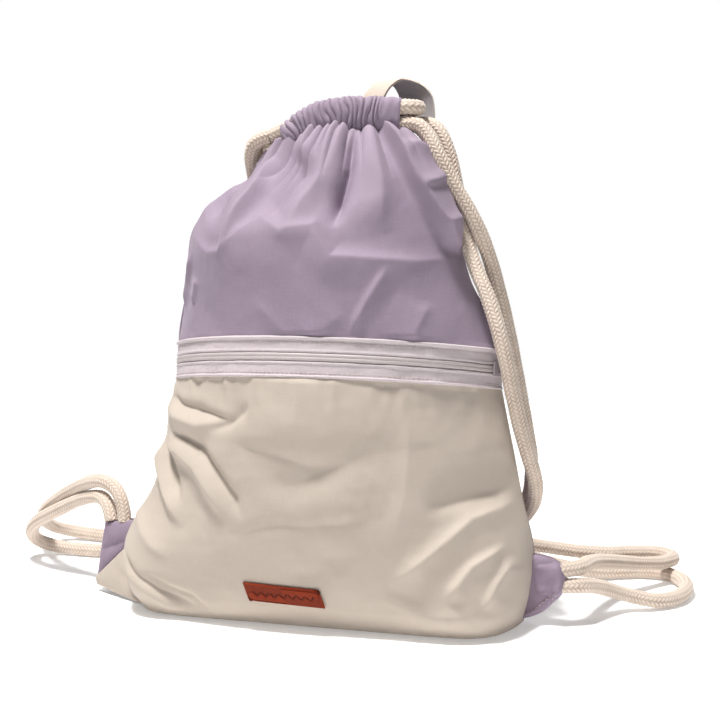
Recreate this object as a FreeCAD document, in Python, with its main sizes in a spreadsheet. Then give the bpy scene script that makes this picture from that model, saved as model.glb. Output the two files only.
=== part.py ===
import FreeCAD, Part
import math
import os
import Sketcher

# Drawstring backpack, standing packed on its base.  Millimetres, +Z up, front towards -Y.
# Origin: middle of the flat base, on the floor.

doc = FreeCAD.newDocument("drawstring_backpack")
sheet = doc.addObject("Spreadsheet::Sheet", "Sizes")

# The bag is described by level outlines, its stations.  Each gives the height of the side seams,
# the half width between them, how far the front and the back bulge out from them, and how far the
# middle lies to the right.
STATIONS = {
    "base": (0, 150, 52, 52, 0),
    "low": (20, 161, 77, 77, -4),
    "hip": (49, 167, 88, 88, -7),
    "belly": (95, 152, 93, 93, -1),
    "waist": (139, 142, 92, 91, 0),
    "zip_low": (180, 133.5, 87, 85, 0),
    "rib": (262, 114.5, 79, 74, -8.5),
    "shoulder": (300, 106, 70, 64, -12),
    "nape": (330, 86, 56, 50, -4),
    "neck": (350, 67, 38, 35, 2),
    "mouth": (362, 54, 14, 14, 6),
}

SIZES = {
    "wall": 2.0,               # cloth of the panels, with its hems
    "lining_wall": 1.6,
    "lining_gap": 8,         # lining to the panels at the seams
    "lining_slack": 26,        # how much flatter than the pocket panel the lining lies
    "waist_lift": 4,           # degrees the front of a station rises above its seams
    "zip_lift": 9.5,
    "rib_lift": 6,
    "shoulder_lift": 3,
    "nape_droop": 3,           # degrees the left seam of a station sinks below the right one
    "neck_droop": 6.5,
    "mouth_droop": 10,
    "zip_band": 28,            # whole zip, from edge to edge of its tapes
    "coil_width": 2.2,         # one coil, across the zip
    "coil_gap": 1.6,           # between the two coils
    "coil_proud": 0.7,         # coil standing out of the tapes
    "coil_deep": 2.6,          # coil, from outside to inside
    "tape_thick": 1.4,
    "slider_long": 10.4,
    "slider_wide": 11,
    "slider_plate": 1.4,
    "slider_play": 0.5,        # slider plates to the coils
    "post_play": 0.3,          # slider post to each coil
    "slider_park": 63.0,       # degrees from the front middle to the parked slider
    "lug_wide": 7.2,
    "lug_gap": 5.0,
    "lug_high": 4.0,
    "lug_long": 3.6,
    "lug_shift": 3.2,          # lug, towards the seam from the slider's middle
    "pin_radius": 0.8,
    "pin_lift": 2.2,           # pull pin above the slider's plate
    "pin_play": 0.15,
    "pull_long": 12,
    "pull_thick": 1.2,
    "pull_side_play": 0.3,
    "knuckle_radius": 1.7,
    "casing_high": 28,
    "casing_deep": 16,
    "casing_wall": 1.8,
    "casing_round": 6.5,
    "casing_half": 52.5,       # half length of the gathered mouth
    "casing_bow": 13,          # mouth middle line to each casing's middle, at the centre
    "casing_end": 9.6,         # the same at its ends
    "cord_radius": 5.5,
    "cord_pitch": 11.8,        # the two cords in a casing, one above the other
    "ear_thick": 14,
    "ear_foot": 2,             # underside of the corner patches above the floor
    "right_ear_tip": 178,
    "right_ear_low": 20,
    "right_ear_high": 51,
    "right_ear_toe": 158,
    "right_ear_top": 62,
    "left_ear_tip": 206,
    "left_ear_high": 58,
    "left_ear_shoulder": 168,
    "left_ear_top": 62,
    "ear_root": 146,           # inside edge of the corner patches, behind the seams
    "hem_thick": 0.9,
    "hem_wide": 6,
    "label_long": 60,
    "label_high": 16,
    "label_thick": 1.6,
    "label_gap": 0.4,
    "label_height": 33.5,
    "label_shift": 12,
    "loop_radius": 29,
    "loop_thick": 1.8,
    "loop_wide": 20,
    "loop_across": 43,
    "loop_height": 388,
    "loop_depth": 35,
    "loop_lean": 18,
    "loop_from": -40,          # degrees round the loop, from its right side up and over
    "loop_to": 170,
}


def fill_sheet():
    """Writes every size into the sheet, one named cell each."""
    sizes = dict(SIZES)
    for name, (height, half, front, back, shift) in STATIONS.items():
        sizes[name + "_height"] = height
        sizes[name + "_half"] = half
        sizes[name + "_front"] = front
        sizes[name + "_back"] = back
        sizes[name + "_shift"] = shift
    for row, (alias, value) in enumerate(sizes.items(), start=1):
        sheet.set(f"A{row}", alias)
        sheet.set(f"B{row}", str(value))
        sheet.setAlias(f"B{row}", alias)
    doc.recompute()


fill_sheet()
PARTS = []
FRONT = -1
BACK = 1


def number(expression):
    """The present value of an expression on the sheet's sizes."""
    return float(sheet.evalExpression(expression))


# ---------------------------------------------------------------- sketches and bodies

def new_body(label):
    body = doc.addObject("PartDesign::Body", label)
    body.Label = label
    PARTS.append(body)
    return body


def new_sketch(body, name, role="XY_Plane"):
    sketch = body.newObject("Sketcher::SketchObject", name)
    plane = [item for item in body.Origin.OriginFeatures if item.Role == role][0]
    sketch.AttachmentSupport = [(plane, "")]
    sketch.MapMode = "FlatFace"
    return sketch


def bind(sketch, kind, *places, size):
    """Adds a dimension to a sketch and ties it to an expression."""
    index = sketch.addConstraint(Sketcher.Constraint(kind, *places, number(size)))
    sketch.setExpression(f"Constraints[{index}]", size)


def polygon(sketch, corners):
    """A closed outline whose corners are pairs of expressions."""
    places = [FreeCAD.Vector(number(x), number(y), 0) for x, y in corners]
    count = len(places)
    for index in range(count):
        sketch.addGeometry(Part.LineSegment(places[index], places[(index + 1) % count]), False)
    for index in range(count):
        sketch.addConstraint(Sketcher.Constraint("Coincident", index, 2, (index + 1) % count, 1))
    for index, (x, y) in enumerate(corners):
        bind_corner(sketch, index, x, y)


def bind_corner(sketch, index, x, y):
    """Ties the first point of a sketch's line to a place, on an axis where it is zero."""
    if number(x) == 0:
        sketch.addConstraint(Sketcher.Constraint("PointOnObject", index, 1, -2))
    else:
        bind(sketch, "DistanceX", -1, 1, index, 1, size=x)
    if number(y) == 0:
        sketch.addConstraint(Sketcher.Constraint("PointOnObject", index, 1, -1))
    else:
        bind(sketch, "DistanceY", -1, 1, index, 1, size=y)


def circle(sketch, x, y, radius):
    place = FreeCAD.Vector(number(x), number(y), 0)
    index = sketch.addGeometry(Part.Circle(place, FreeCAD.Vector(0, 0, 1), number(radius)), False)
    bind(sketch, "Radius", index, size=radius)
    if number(x) == 0:
        sketch.addConstraint(Sketcher.Constraint("PointOnObject", index, 3, -2))
    else:
        bind(sketch, "DistanceX", -1, 1, index, 3, size=x)
    bind(sketch, "DistanceY", -1, 1, index, 3, size=y)


def pad(body, name, sketch, length, midplane=False):
    feature = body.newObject("PartDesign::Pad", name)
    feature.Profile = sketch
    feature.setExpression("Length", length)
    feature.Midplane = midplane
    sketch.Visibility = False
    return feature


def pocket(body, name, sketch, length):
    """A cut of the given whole length, half to each side of the sketch."""
    feature = body.newObject("PartDesign::Pocket", name)
    feature.Profile = sketch
    feature.setExpression("Length", length)
    feature.Midplane = True
    return feature


def bowed_arc(sketch, side, half, depth):
    """An arc from seam to seam that bulges by depth to the front or the back."""
    radius = f"(({half})^2 + ({depth})^2) / (2 * ({depth}))"
    r = number(radius)
    centre = FreeCAD.Vector(0, -side * (r - number(depth)), 0)
    first = math.atan2(-centre.y, side * number(half))
    last = math.atan2(-centre.y, -side * number(half))
    whole = Part.Circle(centre, FreeCAD.Vector(0, 0, 1), r)
    index = sketch.addGeometry(Part.ArcOfCircle(whole, first, last), False)
    sketch.addConstraint(Sketcher.Constraint("PointOnObject", index, 3, -2))
    sketch.addConstraint(Sketcher.Constraint("PointOnObject", index, 1, -1))
    sketch.addConstraint(Sketcher.Constraint("PointOnObject", index, 2, -1))
    right_end = 1 if side == BACK else 2
    bind(sketch, "DistanceX", -1, 1, index, right_end, size=half)
    bind(sketch, "Radius", index, size=radius)
    return index


def join_ends(sketch, first, second, end):
    """A straight edge between the same ends of two arcs."""
    start = sketch.getPoint(first, end)
    stop = sketch.getPoint(second, end)
    line = sketch.addGeometry(Part.LineSegment(start, stop), False)
    sketch.addConstraint(Sketcher.Constraint("Coincident", line, 1, first, end))
    sketch.addConstraint(Sketcher.Constraint("Coincident", line, 2, second, end))


def crescent(sketch, side, half, depth, wall):
    """The outline of a bowed wall that ends on the plane of the seams."""
    outside = bowed_arc(sketch, side, half, depth)
    inside = bowed_arc(sketch, side, f"({half} - {wall})", f"({depth} - {wall})")
    join_ends(sketch, outside, inside, 1)
    join_ends(sketch, outside, inside, 2)


def half_lens(sketch, side, half, depth):
    """The outline of everything inside a bowed wall, up to the plane of the seams."""
    arc = bowed_arc(sketch, side, half, depth)
    start = sketch.getPoint(arc, 1)
    stop = sketch.getPoint(arc, 2)
    chord = sketch.addGeometry(Part.LineSegment(start, stop), False)
    sketch.addConstraint(Sketcher.Constraint("Coincident", chord, 1, arc, 1))
    sketch.addConstraint(Sketcher.Constraint("Coincident", chord, 2, arc, 2))


# ---------------------------------------------------------------- the stations' planes

LEAN = "Sizes.zip_band * sin(Sizes.zip_lift)"
LIFTS = {"waist": "waist_lift", "zip_low": "zip_lift", "zip_high": "zip_lift",
         "rib": "rib_lift", "shoulder": "shoulder_lift"}
DROOPS = {"nape": "nape_droop", "neck": "neck_droop", "mouth": "mouth_droop"}
BELOW_ZIP = ["base", "low", "hip", "belly", "waist", "zip_low"]
ABOVE_ZIP = ["zip_high", "rib", "shoulder", "nape", "neck", "mouth"]


def half_of(station):
    return "Sizes." + station.replace("zip_high", "zip_low") + "_half"


def depth_of(station, side):
    """The bulge at a station.  The zip is a plain cylinder, so both its edges bulge alike."""
    if side == BACK and station == "zip_high":
        return "(Sizes.zip_low_back * 0.5 + Sizes.rib_back * 0.5)"
    face = "_front" if side == FRONT else "_back"
    return "Sizes." + station.replace("zip_high", "zip_low") + face


def height_of(station):
    if station == "zip_high":
        return "Sizes.zip_low_height + Sizes.zip_band * cos(Sizes.zip_lift)"
    return f"Sizes.{station}_height"


def place_on_station(sketch, station, side):
    """Sets a sketch in a station's plane: tilted up at the front, or drooping to the left."""
    offset = FreeCAD.Placement()
    angle = None
    if side == FRONT and station in LIFTS:
        offset.Rotation = FreeCAD.Rotation(FreeCAD.Vector(1, 0, 0), -1)
        angle = f"-Sizes.{LIFTS[station]}"
    if station in DROOPS:
        offset.Rotation = FreeCAD.Rotation(FreeCAD.Vector(0, 1, 0), -1)
        angle = f"-Sizes.{DROOPS[station]}"
    sketch.AttachmentOffset = offset
    sketch.setExpression("AttachmentOffset.Base.z", height_of(station))
    if station in ABOVE_ZIP:
        sketch.setExpression("AttachmentOffset.Base.y", LEAN)
    if station != "zip_high":
        sketch.setExpression("AttachmentOffset.Base.x", f"Sizes.{station}_shift")
    if angle:
        sketch.setExpression("AttachmentOffset.Rotation.Angle", angle)


def wall_loft(body, name, side, stations, wall, narrower="0", flatter="0"):
    """A bowed wall through several stations, as straight-ruled cloth between them."""
    sketches = []
    for station in stations:
        sketch = new_sketch(body, f"{name}_{station}")
        place_on_station(sketch, station, side)
        half = f"({half_of(station)} - {narrower})"
        depth = f"({depth_of(station, side)} - {flatter})"
        crescent(sketch, side, half, depth, wall)
        sketches.append(sketch)
    doc.recompute()
    loft = body.newObject("PartDesign::AdditiveLoft", name)
    loft.Profile = (sketches[0], [""])
    loft.Sections = [(sketch, [""]) for sketch in sketches[1:]]
    loft.Ruled = True
    return loft


# ---------------------------------------------------------------- panels

def pocket_panel():
    """Front of the zipped pocket, with the cloth that turns in under the bag as its base."""
    body = new_body("pocket_panel")
    floor = new_sketch(body, "base_outline")
    front = bowed_arc(floor, FRONT, "Sizes.base_half", "Sizes.base_front")
    back = bowed_arc(floor, BACK, "(Sizes.base_half - Sizes.wall)", "(Sizes.base_back - Sizes.wall)")
    for end, other in ((1, 2), (2, 1)):
        line = floor.addGeometry(Part.LineSegment(floor.getPoint(front, end), floor.getPoint(back, other)), False)
        floor.addConstraint(Sketcher.Constraint("Coincident", line, 1, front, end))
        floor.addConstraint(Sketcher.Constraint("Coincident", line, 2, back, other))
    pad(body, "base_cloth", floor, "Sizes.wall")
    wall_loft(body, "pocket_wall", FRONT, BELOW_ZIP, "Sizes.wall")


def pocket_lining():
    """Inner wall of the pocket, flatter than the front so that the pocket has room."""
    body = new_body("pocket_lining")
    inset = "(Sizes.wall + Sizes.lining_gap)"
    wall_loft(body, "lining_wall", FRONT, BELOW_ZIP[1:] + ["zip_high"], "Sizes.lining_wall",
              narrower=inset, flatter="Sizes.lining_slack")


def upper_front_panel():
    body = new_body("upper_front_panel")
    wall_loft(body, "upper_wall", FRONT, ABOVE_ZIP, "Sizes.wall")


def back_panel():
    body = new_body("back_panel")
    wall_loft(body, "back_wall", BACK, BELOW_ZIP + ABOVE_ZIP, "Sizes.wall")


# ---------------------------------------------------------------- zip

def across_zip(sketch, distance):
    """Sets a sketch in the plane of the zip's arc, at a distance up from its lower edge."""
    sketch.AttachmentOffset = FreeCAD.Placement(
        FreeCAD.Vector(0, 0, 0), FreeCAD.Rotation(FreeCAD.Vector(1, 0, 0), -1))
    sketch.setExpression("AttachmentOffset.Base.y", f"({distance}) * sin(Sizes.zip_lift)")
    sketch.setExpression("AttachmentOffset.Base.z",
                         f"Sizes.zip_low_height + ({distance}) * cos(Sizes.zip_lift)")
    sketch.setExpression("AttachmentOffset.Rotation.Angle", "-Sizes.zip_lift")


TAPE_WIDTH = "((Sizes.zip_band - Sizes.coil_gap) / 2 - Sizes.coil_width)"


def zip_strip(label, start, width, proud, thick):
    """A strip along the whole zip: a tape or a coil."""
    body = new_body(label)
    sketch = new_sketch(body, label + "_section")
    across_zip(sketch, start)
    half = f"(Sizes.zip_low_half + {proud})"
    depth = f"(Sizes.zip_low_front + {proud})"
    crescent(sketch, FRONT, half, depth, thick)
    pad(body, label + "_length", sketch, width)


def zip_tapes_and_coils():
    zip_strip("zip_tape_lower", "0", TAPE_WIDTH, "0", "Sizes.tape_thick")
    zip_strip("zip_tape_upper", f"Sizes.zip_band - {TAPE_WIDTH}", TAPE_WIDTH, "0", "Sizes.tape_thick")
    zip_strip("zip_coil_lower", TAPE_WIDTH, "Sizes.coil_width", "Sizes.coil_proud", "Sizes.coil_deep")
    zip_strip("zip_coil_upper", f"{TAPE_WIDTH} + Sizes.coil_width + Sizes.coil_gap",
              "Sizes.coil_width", "Sizes.coil_proud", "Sizes.coil_deep")


ZIP_RADIUS = "((Sizes.zip_low_half^2 + Sizes.zip_low_front^2) / (2 * Sizes.zip_low_front))"
PLATE_FACE = f"({ZIP_RADIUS} + Sizes.coil_proud + Sizes.slider_play)"
PLATE_TOP = f"({PLATE_FACE} + Sizes.slider_plate)"
INNER_FACE = f"({ZIP_RADIUS} + Sizes.coil_proud - Sizes.coil_deep - Sizes.slider_play)"
PIN_AT = f"({PLATE_TOP} + Sizes.pin_lift)"


def put_on_zip_axis(body):
    """Places a body on the axis of the zip's arc, turned to where the slider is parked."""
    reach = f"({ZIP_RADIUS} - Sizes.zip_low_front)"
    middle = "(Sizes.zip_band / 2)"
    tilt = number("Sizes.zip_lift")
    turn = FreeCAD.Rotation(FreeCAD.Vector(1, 0, 0), -tilt)
    park = FreeCAD.Rotation(FreeCAD.Vector(0, 0, 1), number("Sizes.slider_park"))
    body.Placement = FreeCAD.Placement(FreeCAD.Vector(), turn.multiply(park))
    body.setExpression("Placement.Base.y",
                       f"{reach} * cos(Sizes.zip_lift) + {middle} * sin(Sizes.zip_lift)")
    body.setExpression("Placement.Base.z", "Sizes.zip_low_height"
                       f" - {reach} * sin(Sizes.zip_lift) + {middle} * cos(Sizes.zip_lift)")


def zip_slider():
    """Two plates joined by a post that runs between the coils, with a lug for the pull."""
    body = new_body("zip_slider")
    put_on_zip_axis(body)
    profile = new_sketch(body, "slider_profile", "YZ_Plane")
    wide = "(Sizes.slider_wide / 2)"
    post = "(Sizes.coil_gap / 2 - Sizes.post_play)"
    outline = [
        (f"-{PLATE_TOP}", f"-{wide}"), (f"-{PLATE_FACE}", f"-{wide}"),
        (f"-{PLATE_FACE}", f"-{post}"), (f"-{INNER_FACE}", f"-{post}"),
        (f"-{INNER_FACE}", f"-{wide}"), (f"-({INNER_FACE} - Sizes.slider_plate)", f"-{wide}"),
        (f"-({INNER_FACE} - Sizes.slider_plate)", wide), (f"-{INNER_FACE}", wide),
        (f"-{INNER_FACE}", post), (f"-{PLATE_FACE}", post),
        (f"-{PLATE_FACE}", wide), (f"-{PLATE_TOP}", wide),
    ]
    polygon(profile, outline)
    pad(body, "plates_and_post", profile, "Sizes.slider_long", midplane=True)

    lug = new_sketch(body, "lug_outline")
    left = "Sizes.lug_shift - Sizes.lug_long / 2"
    right = "Sizes.lug_shift + Sizes.lug_long / 2"
    polygon(lug, [(left, f"-{PLATE_TOP}"), (right, f"-{PLATE_TOP}"),
                  (right, f"-({PLATE_TOP} + Sizes.lug_high)"), (left, f"-({PLATE_TOP} + Sizes.lug_high)")])
    pad(body, "lug", lug, "Sizes.lug_wide", midplane=True)
    doc.recompute()
    slot = new_sketch(body, "lug_slot_outline")
    polygon(slot, [("Sizes.lug_shift - Sizes.lug_long", f"-{PLATE_TOP}"),
                   ("Sizes.lug_shift + Sizes.lug_long", f"-{PLATE_TOP}"),
                   ("Sizes.lug_shift + Sizes.lug_long", f"-({PLATE_TOP} + 2 * Sizes.lug_high)"),
                   ("Sizes.lug_shift - Sizes.lug_long", f"-({PLATE_TOP} + 2 * Sizes.lug_high)")])
    pocket(body, "lug_slot", slot, "Sizes.lug_gap")
    doc.recompute()
    pin = new_sketch(body, "pin_outline")
    circle(pin, "Sizes.lug_shift", f"-{PIN_AT}", "Sizes.pin_radius")
    pad(body, "pin", pin, "Sizes.lug_wide", midplane=True)


def zip_pull():
    """Flat tab with a knuckle that turns on the slider's pin."""
    body = new_body("zip_pull")
    put_on_zip_axis(body)
    width = "Sizes.lug_gap - 2 * Sizes.pull_side_play"
    knuckle = new_sketch(body, "knuckle_outline")
    circle(knuckle, "Sizes.lug_shift", f"-{PIN_AT}", "Sizes.knuckle_radius")
    pad(body, "knuckle", knuckle, width, midplane=True)
    tab = new_sketch(body, "tab_outline")
    half = "Sizes.pull_thick / 2"
    reach = "Sizes.lug_shift + Sizes.pull_long"
    polygon(tab, [("Sizes.lug_shift", f"-{PIN_AT} - {half}"), (reach, f"-{PIN_AT} - {half}"),
                  (reach, f"-{PIN_AT} + {half}"), ("Sizes.lug_shift", f"-{PIN_AT} + {half}")])
    pad(body, "tab", tab, width, midplane=True)
    doc.recompute()
    hole = new_sketch(body, "pin_hole_outline")
    circle(hole, "Sizes.lug_shift", f"-{PIN_AT}", "Sizes.pin_radius + Sizes.pin_play")
    pocket(body, "pin_hole", hole, "2 * Sizes.lug_wide")


# ---------------------------------------------------------------- gathered mouth

CASING_RISE = "(Sizes.casing_bow - Sizes.casing_end)"
CASING_RADIUS = f"((Sizes.casing_half^2 + {CASING_RISE}^2) / (2 * {CASING_RISE}))"
CASING_SWEEP = f"asin(Sizes.casing_half / {CASING_RADIUS})"
MOUTH_MIDDLE = "Sizes.casing_high / 2"


def put_on_mouth(thing, along="0"):
    """Places a piece in the drooping frame of the mouth, half way up the casings."""
    droop = "Sizes.mouth_droop"
    thing.Placement = FreeCAD.Placement(
        FreeCAD.Vector(), FreeCAD.Rotation(FreeCAD.Vector(0, 1, 0), -1))
    thing.setExpression("Placement.Rotation.Angle", f"-{droop}")
    thing.setExpression("Placement.Base.x", f"Sizes.mouth_shift - ({MOUTH_MIDDLE}) * sin({droop})")
    thing.setExpression("Placement.Base.y", f"{LEAN} + {along}")
    thing.setExpression("Placement.Base.z", f"Sizes.mouth_height + ({MOUTH_MIDDLE}) * cos({droop})")


def rounded_box(sketch, middle, wide, high, rounding):
    """A rectangle with rounded corners, upright in the sketch, centred beside its axis."""
    x = number(middle)
    w = number(wide) / 2
    t = number(high) / 2
    r = number(rounding)
    corners = ((x + w, t, 0), (x - w, t, 90), (x - w, -t, 180), (x + w, -t, 270))
    first = sketch.GeometryCount
    for px, py, start in corners:
        centre = FreeCAD.Vector(px - r * math.copysign(1, px - x), py - r * math.copysign(1, py), 0)
        whole = Part.Circle(centre, FreeCAD.Vector(0, 0, 1), r)
        sketch.addGeometry(Part.ArcOfCircle(whole, math.radians(start), math.radians(start + 90)), False)
    for index in range(4):
        following = (index + 1) % 4
        side = Part.LineSegment(sketch.getPoint(first + index, 2), sketch.getPoint(first + following, 1))
        sketch.addGeometry(side, False)
    for index in range(4):
        following = (index + 1) % 4
        line = first + 4 + index
        sketch.addConstraint(Sketcher.Constraint("Tangent", first + index, 2, line, 1))
        sketch.addConstraint(Sketcher.Constraint("Tangent", line, 2, first + following, 1))
    for line, kind in ((4, "Horizontal"), (6, "Horizontal"), (5, "Vertical"), (7, "Vertical")):
        sketch.addConstraint(Sketcher.Constraint(kind, first + line))
    for index in (1, 2, 3):
        sketch.addConstraint(Sketcher.Constraint("Equal", first, first + index))
    bind(sketch, "Radius", first, size=rounding)
    bind(sketch, "DistanceX", -1, 1, first, 1, size=f"{middle} + ({wide}) / 2")
    bind(sketch, "DistanceX", -1, 1, first + 1, 2, size=f"{middle} - ({wide}) / 2")
    bind(sketch, "DistanceY", -1, 1, first, 2, size=f"({high}) / 2")
    bind(sketch, "DistanceY", -1, 1, first + 2, 2, size=f"-({high}) / 2")


def casing(label, side):
    """Half of the gathered tunnel at the mouth: a flattened tube bowed to the front or back."""
    body = new_body(label)
    put_on_mouth(body, f"{-side} * ({CASING_RADIUS} - Sizes.casing_bow)")
    section = new_sketch(body, label + "_section", "YZ_Plane")
    middle = f"{side} * {CASING_RADIUS}"
    rounded_box(section, middle, "Sizes.casing_deep", "Sizes.casing_high", "Sizes.casing_round")
    rounded_box(section, middle, "Sizes.casing_deep - 2 * Sizes.casing_wall",
                "Sizes.casing_high - 2 * Sizes.casing_wall", "Sizes.casing_round - Sizes.casing_wall")
    doc.recompute()
    turned = body.newObject("PartDesign::Revolution", label + "_bow")
    turned.Profile = section
    turned.ReferenceAxis = (section, ["V_Axis"])
    turned.setExpression("Angle", f"2 * {CASING_SWEEP}")
    turned.Midplane = True


def torus_arc(name, radius, x, y, level, start, sweep):
    """A bent stretch of cord, as part of a ring about an upright axis."""
    ring = doc.addObject("Part::Torus", name)
    ring.setExpression("Radius1", radius)
    ring.setExpression("Radius2", "Sizes.cord_radius")
    ring.setExpression("Angle3", sweep)
    ring.Placement = FreeCAD.Placement(FreeCAD.Vector(), FreeCAD.Rotation(FreeCAD.Vector(0, 0, 1), 1))
    ring.setExpression("Placement.Base.x", x)
    ring.setExpression("Placement.Base.y", y)
    ring.setExpression("Placement.Base.z", level)
    ring.setExpression("Placement.Rotation.Angle", start)
    return ring


def channel_cord(label, turn_side, level):
    """The stretch of one cord inside the casings: in, round the far end of the mouth, and out."""
    turn_radius = f"(Sizes.casing_end / cos({CASING_SWEEP}))"
    turn_at = f"{turn_side} * (Sizes.casing_half - {turn_radius} * sin({CASING_SWEEP}))"
    reach = f"({CASING_RADIUS} - Sizes.casing_bow)"
    front = torus_arc(label + "_front", CASING_RADIUS, "0", reach, level,
                      f"270 deg - {CASING_SWEEP}", f"2 * {CASING_SWEEP}")
    back = torus_arc(label + "_back", CASING_RADIUS, "0", f"-{reach}", level,
                     f"90 deg - {CASING_SWEEP}", f"2 * {CASING_SWEEP}")
    start = f"270 deg + {CASING_SWEEP}" if turn_side > 0 else f"90 deg + {CASING_SWEEP}"
    turn = torus_arc(label + "_turn", turn_radius, turn_at, "0", level, start,
                     f"180 deg - 2 * {CASING_SWEEP}")
    cord = doc.addObject("Part::MultiFuse", label)
    cord.Label = label
    cord.Shapes = [front, turn, back]
    put_on_mouth(cord)
    PARTS.append(cord)


# ---------------------------------------------------------------- free cords

# Routes from the casings to the corner patches.  The right pair cross and hang down the side, hook
# behind the bag and lie on the floor in two open loops.  The left pair go down behind the bag, along
# the floor and up over the left corner patch.
CORD_ROUTES = {
    "cord_right_front": [
        (56.3, -5.0, 379.1), (66, -3.73, 380.8), (76.5, -4.5, 371), (85.5, -7, 354), (97.5, -5, 331),
        (111.5, -1.5, 308), (123, 5, 278), (131, 17, 240), (139, 26, 196), (146, 32, 153), (152, 39, 114),
        (147, 56, 84), (131, 78, 64), (113, 104, 46), (118, 134, 31), (148, 150, 24), (190, 158, 19),
        (222, 178, 18), (246, 182, 18), (258, 164, 18), (246, 142, 18), (228, 120, 22), (208, 85, 31),
        (197, 44, 40), (193, 8, 42.5), (178, 0, 41.6),
    ],
    "cord_right_rear": [
        (56.3, 14.2, 379.1), (67.5, 12.73, 381.06), (80, 11.5, 377.5), (88.5, 9.5, 361), (95, 7.5, 337),
        (100.5, 5.5, 306), (110.5, -3.5, 277), (127, -13.5, 245), (138, -18.5, 212), (145.5, -15, 172),
        (153, -6, 137), (160, 8, 108), (155, 28, 86), (139, 52, 66), (123, 82, 46), (128, 110, 28),
        (154, 124, 16), (192, 142, 6), (228, 162, 5.7), (254, 158, 5.7), (270, 128, 5.7),
        (268, 90, 5.7), (250, 62, 6), (222, 54, 13), (204, 28, 25), (193, 1, 31), (178, 0, 30),
    ],
    "cord_left_front": [
        (-49.2, -5.0, 372.5), (-61.5, -3.4, 370.3), (-69, 3, 360.5), (-71.5, 15, 346), (-79, 46, 321),
        (-85, 63, 284), (-87, 68, 236), (-91, 69, 186), (-95, 74, 136), (-99, 78, 90), (-106, 84, 48),
        (-122, 94, 15), (-152, 108, 5.7), (-205, 110, 5.7), (-258, 98, 5.7), (-302, 101, 6),
        (-317, 84, 17), (-300, 56, 38), (-264, 35, 56), (-226, 22, 74), (-198, 4, 76), (-194, 0, 58),
    ],
    "cord_left_rear": [
        (-49.2, 14.2, 372.5), (-60.5, 12.7, 370.5), (-68, 18, 362), (-70, 30, 349), (-68, 50, 324),
        (-70, 70, 290), (-72, 80, 240), (-74, 82, 186), (-77, 84, 136), (-80, 86, 90), (-86, 94, 48),
        (-100, 108, 16), (-128, 124, 5.7), (-178, 137, 5.7), (-228, 144, 5.7), (-276, 156, 5.7),
        (-316, 160, 7), (-328, 134, 18), (-312, 94, 38), (-278, 52, 58), (-240, 28, 80),
        (-206, 10, 92), (-184, 2, 80), (-182, 0, 58),
    ],
}


def cord_path(points):
    """Straight runs joined by the largest tangent arcs they allow, with each arc's radius."""
    edges = []
    radii = []
    start = points[0]
    for before, corner, after in zip(points, points[1:], points[2:]):
        back = before - corner
        ahead = after - corner
        shorter = min(back.Length, ahead.Length)
        back.normalize()
        ahead.normalize()
        turn = math.pi - back.getAngle(ahead)
        cut = 0.45 * shorter
        radius = cut / math.tan(turn / 2)
        middle = (back + ahead).normalize()
        reach = radius / math.cos(turn / 2) - radius
        first = corner + back * cut
        last = corner + ahead * cut
        edges.append(Part.LineSegment(start, first).toShape())
        edges.append(Part.Arc(first, corner + middle * reach, last).toShape())
        radii.append(radius)
        start = last
    edges.append(Part.LineSegment(start, points[-1]).toShape())
    return Part.Wire(edges), radii


def free_cord(label, route):
    """A round cord swept along its path."""
    points = [FreeCAD.Vector(*point) for point in route]
    path, radii = cord_path(points)
    radius = number("Sizes.cord_radius")
    section = Part.Wire(Part.Circle(points[0], points[1] - points[0], radius).toShape())
    tube = path.makePipeShell([section], True, False)
    cord = doc.addObject("Part::Feature", label)
    cord.Label = label
    cord.Shape = tube
    cord.Placement = FreeCAD.Placement()
    PARTS.append(cord)
    expected = math.pi * radius ** 2 * path.Length
    print(f"{label}: length {path.Length:.0f}, volume {tube.Volume / expected:.4f} of section x length,"
          f" bends {', '.join(f'{r:.0f}' for r in radii)}")


# ---------------------------------------------------------------- corner patches

def corner_patch(label, side, outline):
    """The padded corner that holds the ends of a cord, fitted against the bag's side seam."""
    body = new_body(label)
    sketch = new_sketch(body, label + "_outline", "XZ_Plane")
    polygon(sketch, [(f"{side} * ({x})", z) for x, z in outline])
    pad(body, label + "_block", sketch, "Sizes.ear_thick", midplane=True)
    doc.recompute()
    for face, name in ((FRONT, "front"), (BACK, "back")):
        sketches = []
        for station in BELOW_ZIP[:4]:
            section = new_sketch(body, f"{label}_{name}_{station}")
            place_on_station(section, station, face)
            half_lens(section, face, half_of(station), depth_of(station, face))
            sketches.append(section)
        doc.recompute()
        fit = body.newObject("PartDesign::SubtractiveLoft", f"{label}_{name}_fit")
        fit.Profile = (sketches[0], [""])
        fit.Sections = [(section, [""]) for section in sketches[1:]]
        fit.Ruled = True
        doc.recompute()


RIGHT_EAR = [
    ("Sizes.ear_root", "Sizes.ear_foot"), ("Sizes.right_ear_toe", "Sizes.ear_foot"),
    ("Sizes.right_ear_tip", "Sizes.right_ear_low"), ("Sizes.right_ear_tip", "Sizes.right_ear_high"),
    ("Sizes.right_ear_toe", "Sizes.right_ear_top"), ("Sizes.ear_root", "Sizes.right_ear_top"),
]
LEFT_EAR = [
    ("Sizes.ear_root", "Sizes.ear_foot"), ("Sizes.left_ear_tip", "Sizes.ear_foot"),
    ("Sizes.left_ear_tip", "Sizes.left_ear_high"), ("Sizes.left_ear_shoulder", "Sizes.left_ear_high"),
    ("Sizes.ear_root", "Sizes.left_ear_top"),
]


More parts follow.
